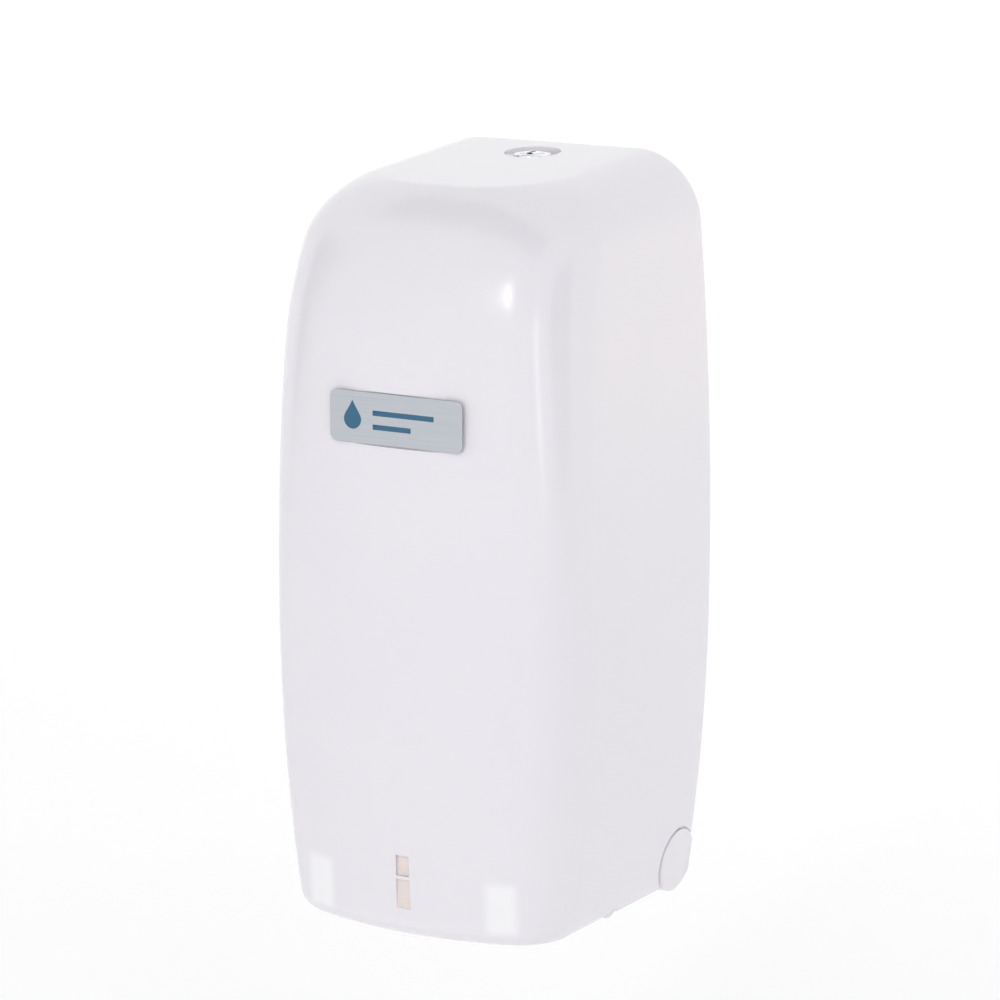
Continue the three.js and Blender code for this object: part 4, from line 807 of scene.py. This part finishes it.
black_rubber = moulded("black EPDM rubber", "#262628", "#1D1D1F", 0.75, 0.5 * mm, 0.5, 1.5)
seal_rise = (seal_high.z - seal_low.z) / mm
seal_outer = (seal_high.x - seal_low.x) / 2 / mm
form = turned([(5.2, 0.4), (5.6, 0), (seal_outer - 0.4, 0), (seal_outer, 0.4), (seal_outer, seal_rise - 0.4),
               (seal_outer - 0.4, seal_rise), (5.6, seal_rise), (5.2, seal_rise - 0.4), (5.2, 0.4)], "Z",
              (spigot_x, spigot_y, seal_low.z))
seal = as_object(form, "tank_seal_piece", black_rubber)
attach(seal, "tank")
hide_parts("tank_seal")

cap_rise = (cap_high.z - cap_low.z) / mm
cap_outer = (cap_high.x - cap_low.x) / 2 / mm - 0.7
cap_ribs = 48
form = turned([(17.4, 0), (cap_outer - 0.4, 0), (cap_outer, 0.4), (cap_outer, cap_rise - 1.2),
               (cap_outer - 0.3, cap_rise - 0.5), (cap_outer - 1.2, cap_rise), (14.6, cap_rise),
               (14.2, cap_rise - 0.5), (0, cap_rise - 0.5), (0, cap_rise - 2.4), (17.4, cap_rise - 2.4),
               (17.4, 0)], "Z", (neck_at.x, neck_at.y, cap_low.z), 144)
ribs = []
for rib in range(cap_ribs):
    turn = 2 * math.pi * rib / cap_ribs
    rib_x = neck_at.x + cap_outer * mm * math.cos(turn)
    rib_y = neck_at.y + cap_outer * mm * math.sin(turn)
    ribs.append(round_bar(0.55 * mm, (cap_rise - 2.4) * mm, "Z", (rib_x, rib_y, cap_low.z + 0.9 * mm), 10))
white_pp = moulded("white moulded polypropylene", "#ECECEE", "#E5E5E8", 0.36, 0.6 * mm, 0.2, 1.49, 0.2)
cap = as_object(gathered([form] + ribs), "tank_cap_piece", white_pp, 40)
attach(cap, "tank_cap")
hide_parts("tank_cap")

# ---- Pump
# A peristaltic pump: a rotor with three acetal rollers presses a silicone tube against a round
# race in a black nylon body, behind a clear polycarbonate cover held by two screws.
black_nylon = moulded("black glass-filled nylon", "#2C2D31", "#222327", 0.52, 0.4 * mm, 0.5, 1.53)
finish_nodes(["pump_body"], "base", black_nylon, 0.3 * mm)
clear_polycarbonate = clear_moulding("clear polycarbonate", ("#E9EFF1", "#F1F5F6"), 0.06, 0.92, 1.58)
finish_nodes(["pump_cover"], "base", clear_polycarbonate, 0.25 * mm)

shaft_low, shaft_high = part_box("rotor_shaft")
rotor_low, rotor_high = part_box("pump_rotor")
rotor_at = Vector(((shaft_low.x + shaft_high.x) / 2, rotor_high.y, (shaft_low.z + shaft_high.z) / 2))
rotor_long = (rotor_high.y - rotor_low.y) / mm
roller_radius, roller_pin, roller_count, roller_orbit = 4.0, 1.5, 3, 11 * mm
form = turned([(2.05, 0), (13.2, 0), (13.6, 0.4), (13.6, 1.6), (13.2, 2), (4.8, 2), (4.4, 2.4),
               (4.4, rotor_long - 1.0), (4.0, rotor_long - 0.6), (2.05, rotor_long - 0.6), (2.05, 0)],
              "O", rotor_at, 96)
pins = []
for roller in range(roller_count):
    turn = math.pi / 2 + 2 * math.pi * roller / roller_count
    pin_at = rotor_at + Vector((roller_orbit * math.cos(turn), 0, roller_orbit * math.sin(turn)))
    pins.append(turned([(0, 0.1), (roller_pin, 0.1), (roller_pin, rotor_long - 0.3),
                        (roller_pin - 0.3, rotor_long), (0, rotor_long)], "O", pin_at, 32))
    roller_low, roller_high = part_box(f"pump_roller_{roller + 1}")
    long = (roller_high.y - roller_low.y) / mm
    roller_bore = roller_pin + 0.15
    sleeve = turned([(roller_bore, 0), (roller_radius - 0.4, 0), (roller_radius, 0.4),
                     (roller_radius, long - 0.4), (roller_radius - 0.4, long), (roller_bore, long),
                     (roller_bore, 0)], "O", (pin_at.x, roller_high.y, pin_at.z))
    piece = as_object(sleeve, f"pump_roller_{roller + 1}_piece", natural_acetal)
    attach(piece, f"pump_roller_{roller + 1}")
    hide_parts(f"pump_roller_{roller + 1}")
rotor = as_object(gathered([form] + pins), "pump_rotor_piece", natural_acetal)
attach(rotor, "pump_rotor")
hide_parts("pump_rotor")
finish_nodes(["rotor_shaft"], "pump_rotor", zinc_steel, 0.2 * mm)

tube_low, tube_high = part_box("pump_tube")
tube_radius = 2.5 * mm
race_line = rotor_at.x - tube_low.x - tube_radius
bend = 6 * mm


def tube_route():
    """The tube's middle line: down, over the race from above to below, and down again."""
    straight_x = tube_high.x - tube_radius
    above, below = rotor_at.z + race_line, rotor_at.z - race_line
    route = [(straight_x, tube_high.z)]
    for step in range(9):
        turn = math.pi / 2 * step / 8
        route.append((straight_x - bend * (1 - math.cos(turn)), above + bend * (1 - math.sin(turn))))
    for step in range(49):
        turn = math.pi / 2 + math.pi * step / 48
        route.append((rotor_at.x + race_line * math.cos(turn), rotor_at.z + race_line * math.sin(turn)))
    for step in range(9):
        turn = math.pi / 2 * step / 8
        route.append((straight_x - bend * (1 - math.sin(turn)), below - bend * (1 - math.cos(turn))))
    route.append((straight_x, tube_low.z))
    return [Vector((x, (tube_low.y + tube_high.y) / 2, z)) for x, z in route]


route = tube_route()
tube_curve = bpy.data.curves.new("pump_tube_line", "CURVE")
tube_curve.dimensions = "3D"
tube_curve.bevel_depth = tube_radius
tube_curve.bevel_resolution = 6
tube_curve.use_fill_caps = True
line = tube_curve.splines.new("POLY")
line.points.add(len(route) - 1)
for point, place in zip(line.points, route):
    point.co = (*place, 1)
line_object = bpy.data.objects.new("pump_tube_line", tube_curve)
bpy.context.collection.objects.link(line_object)
filled = line_object.evaluated_get(bpy.context.evaluated_depsgraph_get())
form = bmesh.new()
form.from_mesh(bpy.data.meshes.new_from_object(filled))
bmesh.ops.remove_doubles(form, verts=form.verts, dist=0.01 * mm)
bmesh.ops.recalc_face_normals(form, faces=form.faces)
bpy.data.objects.remove(line_object, do_unlink=True)
tube = as_object(form, "pump_tube_piece", silicone, 50)
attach(tube, "base")
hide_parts("pump_tube")

# ---- Gear train and motor
# A small direct-current motor in a plated steel can turns a brass pinion, an acetal idler and the
# acetal output wheel, inside a black nylon gearbox behind the pump.
finish_nodes(["gearbox"], "base", black_nylon, 0.3 * mm)
brass = worked_metal("machined brass", "#CDAA62", "#B38F4A", 0.3, (0.8, 8, 0.8), 0.3 * mm, 0.12)
finish_nodes(["motor_pinion"], "motor_rotor", brass, 0.1 * mm, 1)
finish_nodes(["idler_gear"], "idler", natural_acetal, 0.1 * mm, 1)
finish_nodes(["output_gear"], "pump_rotor", natural_acetal, 0.1 * mm, 1)
finish_nodes(["motor_shaft"], "motor_rotor", zinc_steel, 0.15 * mm)
finish_nodes(["idler_shaft"], "base", zinc_steel, 0.15 * mm)

motor_low, motor_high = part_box("motor_case")
motor_radius = (motor_high.x - motor_low.x) / 2 / mm
motor_long = (motor_high.y - motor_low.y) / mm
motor_at = ((motor_low.x + motor_high.x) / 2, motor_high.y, (motor_low.z + motor_high.z) / 2)
can_long = motor_long - 1.9
form = turned([(0, 0), (motor_radius - 2, 0), (motor_radius - 1.4, 0.3), (motor_radius - 0.5, 0.9),
               (motor_radius - 0.15, 2.2), (motor_radius - 0.15, 2.9), (motor_radius, 3.1),
               (motor_radius, can_long - 1.2), (motor_radius - 0.3, can_long - 0.4),
               (motor_radius - 1.2, can_long), (3.2, can_long), (3, can_long + 0.2), (3, motor_long - 0.3),
               (2.7, motor_long), (1.4, motor_long), (1.4, motor_long - 6), (0, motor_long - 6)],
              "O", motor_at, 96)
motor = as_object(form, "motor_case_piece", zinc_steel)
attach(motor, "base")
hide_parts("motor_case")

# ---- Batteries
# Four AA alkaline cells in a black nylon box: each is a steel can in a printed shrink sleeve, and
# bright nickel strips join them end to end.
finish_nodes(["battery_box"], "base", black_nylon, 0.3 * mm)
finish_nodes(["contact_top_left", "contact_top_right", "contact_bottom"], "base", nickel, 0.12 * mm)


def shrink_sleeve(name, foot, length, nipple_up):
    """Printed PVC shrink sleeve: a blue body, a silver shoulder band and bare steel at both ends."""
    material, place = new_material(name)
    axes = add_node(material, "ShaderNodeSeparateXYZ", links={"Vector": place})
    ends = (foot, foot + length) if nipple_up else (foot + length, foot)
    along = add_node(material, "ShaderNodeMapRange", {"From Min": ends[0], "From Max": ends[1]},
                     {"Value": axes.outputs["Z"]}).outputs["Result"]
    bands = add_node(material, "ShaderNodeValToRGB", links={"Fac": along})
    bands.color_ramp.interpolation = "CONSTANT"
    stops = ((0.0, "#B9BDC2"), (0.02, "#2F4C78"), (0.72, "#C7CBD0"), (0.76, "#25406A"), (0.955, "#B9BDC2"))
    for at, colour in stops[2:]:
        bands.color_ramp.elements.new(at)
    for element, (at, colour) in zip(bands.color_ramp.elements, stops):
        element.position = at
        element.color = linear(colour)
    bare = add_node(material, "ShaderNodeMath", {"operation": "GREATER_THAN", 1: 0.955}, {0: along})
    crinkle = add_node(material, "ShaderNodeTexNoise", {"Scale": 1 / (3 * mm), "Detail": 2.0},
                       {"Vector": place})
    bump = add_node(material, "ShaderNodeBump", {"Strength": 0.1, "Distance": 0.1 * mm},
                    {"Height": crinkle.outputs["Fac"]})
    surface(material, {"Roughness": 0.3, "IOR": 1.53}, {
        "Base Color": bands.outputs["Color"], "Metallic": bare.outputs[0], "Normal": bump.outputs["Normal"]})
    return material


for cell in range(1, 5):
    cell_low, cell_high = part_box(f"battery_cell_{cell}")
    nipple_up = cell % 2 == 1
    radius = (cell_high.x - cell_low.x) / 2 / mm
    long = (cell_high.z - cell_low.z) / mm
    form = turned([(0, 0), (radius - 1, 0), (radius - 0.3, 0.2), (radius, 0.8), (radius, long - 2.1),
                   (radius - 0.3, long - 1.5), (radius - 1, long - 1.2), (2.7, long - 1.2),
                   (2.7, long - 0.3), (2.4, long), (0, long)], "Z", (0, 0, 0))
    if not nipple_up:
        half_turn = Matrix.Rotation(math.pi, 3, "X")
        bmesh.ops.rotate(form, verts=form.verts, cent=(0, 0, long * mm / 2), matrix=half_turn)
    bmesh.ops.translate(form, verts=form.verts, vec=(
        (cell_low.x + cell_high.x) / 2, (cell_low.y + cell_high.y) / 2, cell_low.z))
    sleeve_name = "shrink sleeve up" if nipple_up else "shrink sleeve down"
    sleeve = shrink_sleeve(sleeve_name, cell_low.z, long * mm, nipple_up)
    piece = as_object(form, f"battery_cell_{cell}_piece", sleeve)
    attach(piece, "base")
    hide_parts(f"battery_cell_{cell}")

# ---- Controls
# Two glass-epoxy boards under green solder mask. One carries the infra-red pair that sees the hand,
# the other the test switch and the power switch, whose rubber button and knob pass the panel.


def solder_mask():
    """Green solder mask: raised copper tracks 0.8 mm apart show through it as paler lines."""
    material, place = new_material("green solder mask")
    tracks = add_node(material, "ShaderNodeTexBrick", {
        "Scale": 1 / (6 * mm), "Mortar Size": 0.03, "Mortar Smooth": 0.2, "Brick Width": 0.9,
        "Row Height": 0.22,
        "Color1": linear("#1E5A3C"), "Color2": linear("#1A5236"), "Mortar": linear("#3C8A5C"),
    }, {"Vector": place})
    bump = add_node(material, "ShaderNodeBump", {"Strength": 0.3, "Distance": 0.04 * mm},
                    {"Height": tracks.outputs["Fac"]})
    surface(material, {"Roughness": 0.3, "IOR": 1.52},
            {"Base Color": tracks.outputs["Color"], "Normal": bump.outputs["Normal"]})
    return material


finish_nodes(["control_board", "switch_board"], "base", solder_mask(), 0.1 * mm, 1)
finish_nodes(["slide_switch"], "base", nickel, 0.2 * mm)
finish_nodes(["tact_switch"], "base", black_nylon, 0.15 * mm)
finish_nodes(["sensor_receiver"], "base", smoked, 0.1 * mm)
finish_nodes(["sensor_emitter"], "base", clear_polycarbonate, 0.1 * mm)
finish_nodes(["switch_knob"], "power_switch", black_nylon, 0.3 * mm)

button_low, button_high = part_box("test_button")
button_long = (button_high.y - button_low.y) / mm
button_radius = (button_high.x - button_low.x) / 2 / mm
button_at = ((button_low.x + button_high.x) / 2, button_high.y, (button_low.z + button_high.z) / 2)
form = turned([(0, 0), (1.4, 0), (1.6, 0.2), (1.6, 1.4), (button_radius, 1.4),
               (button_radius, button_long - 0.9), (button_radius - 0.3, button_long - 0.3),
               (button_radius - 1, button_long), (0.8, button_long - 0.25), (0, button_long - 0.3)],
              "O", button_at)
button = as_object(form, "test_button_piece", black_rubber)
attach(button, "test_button")
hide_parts("test_button")
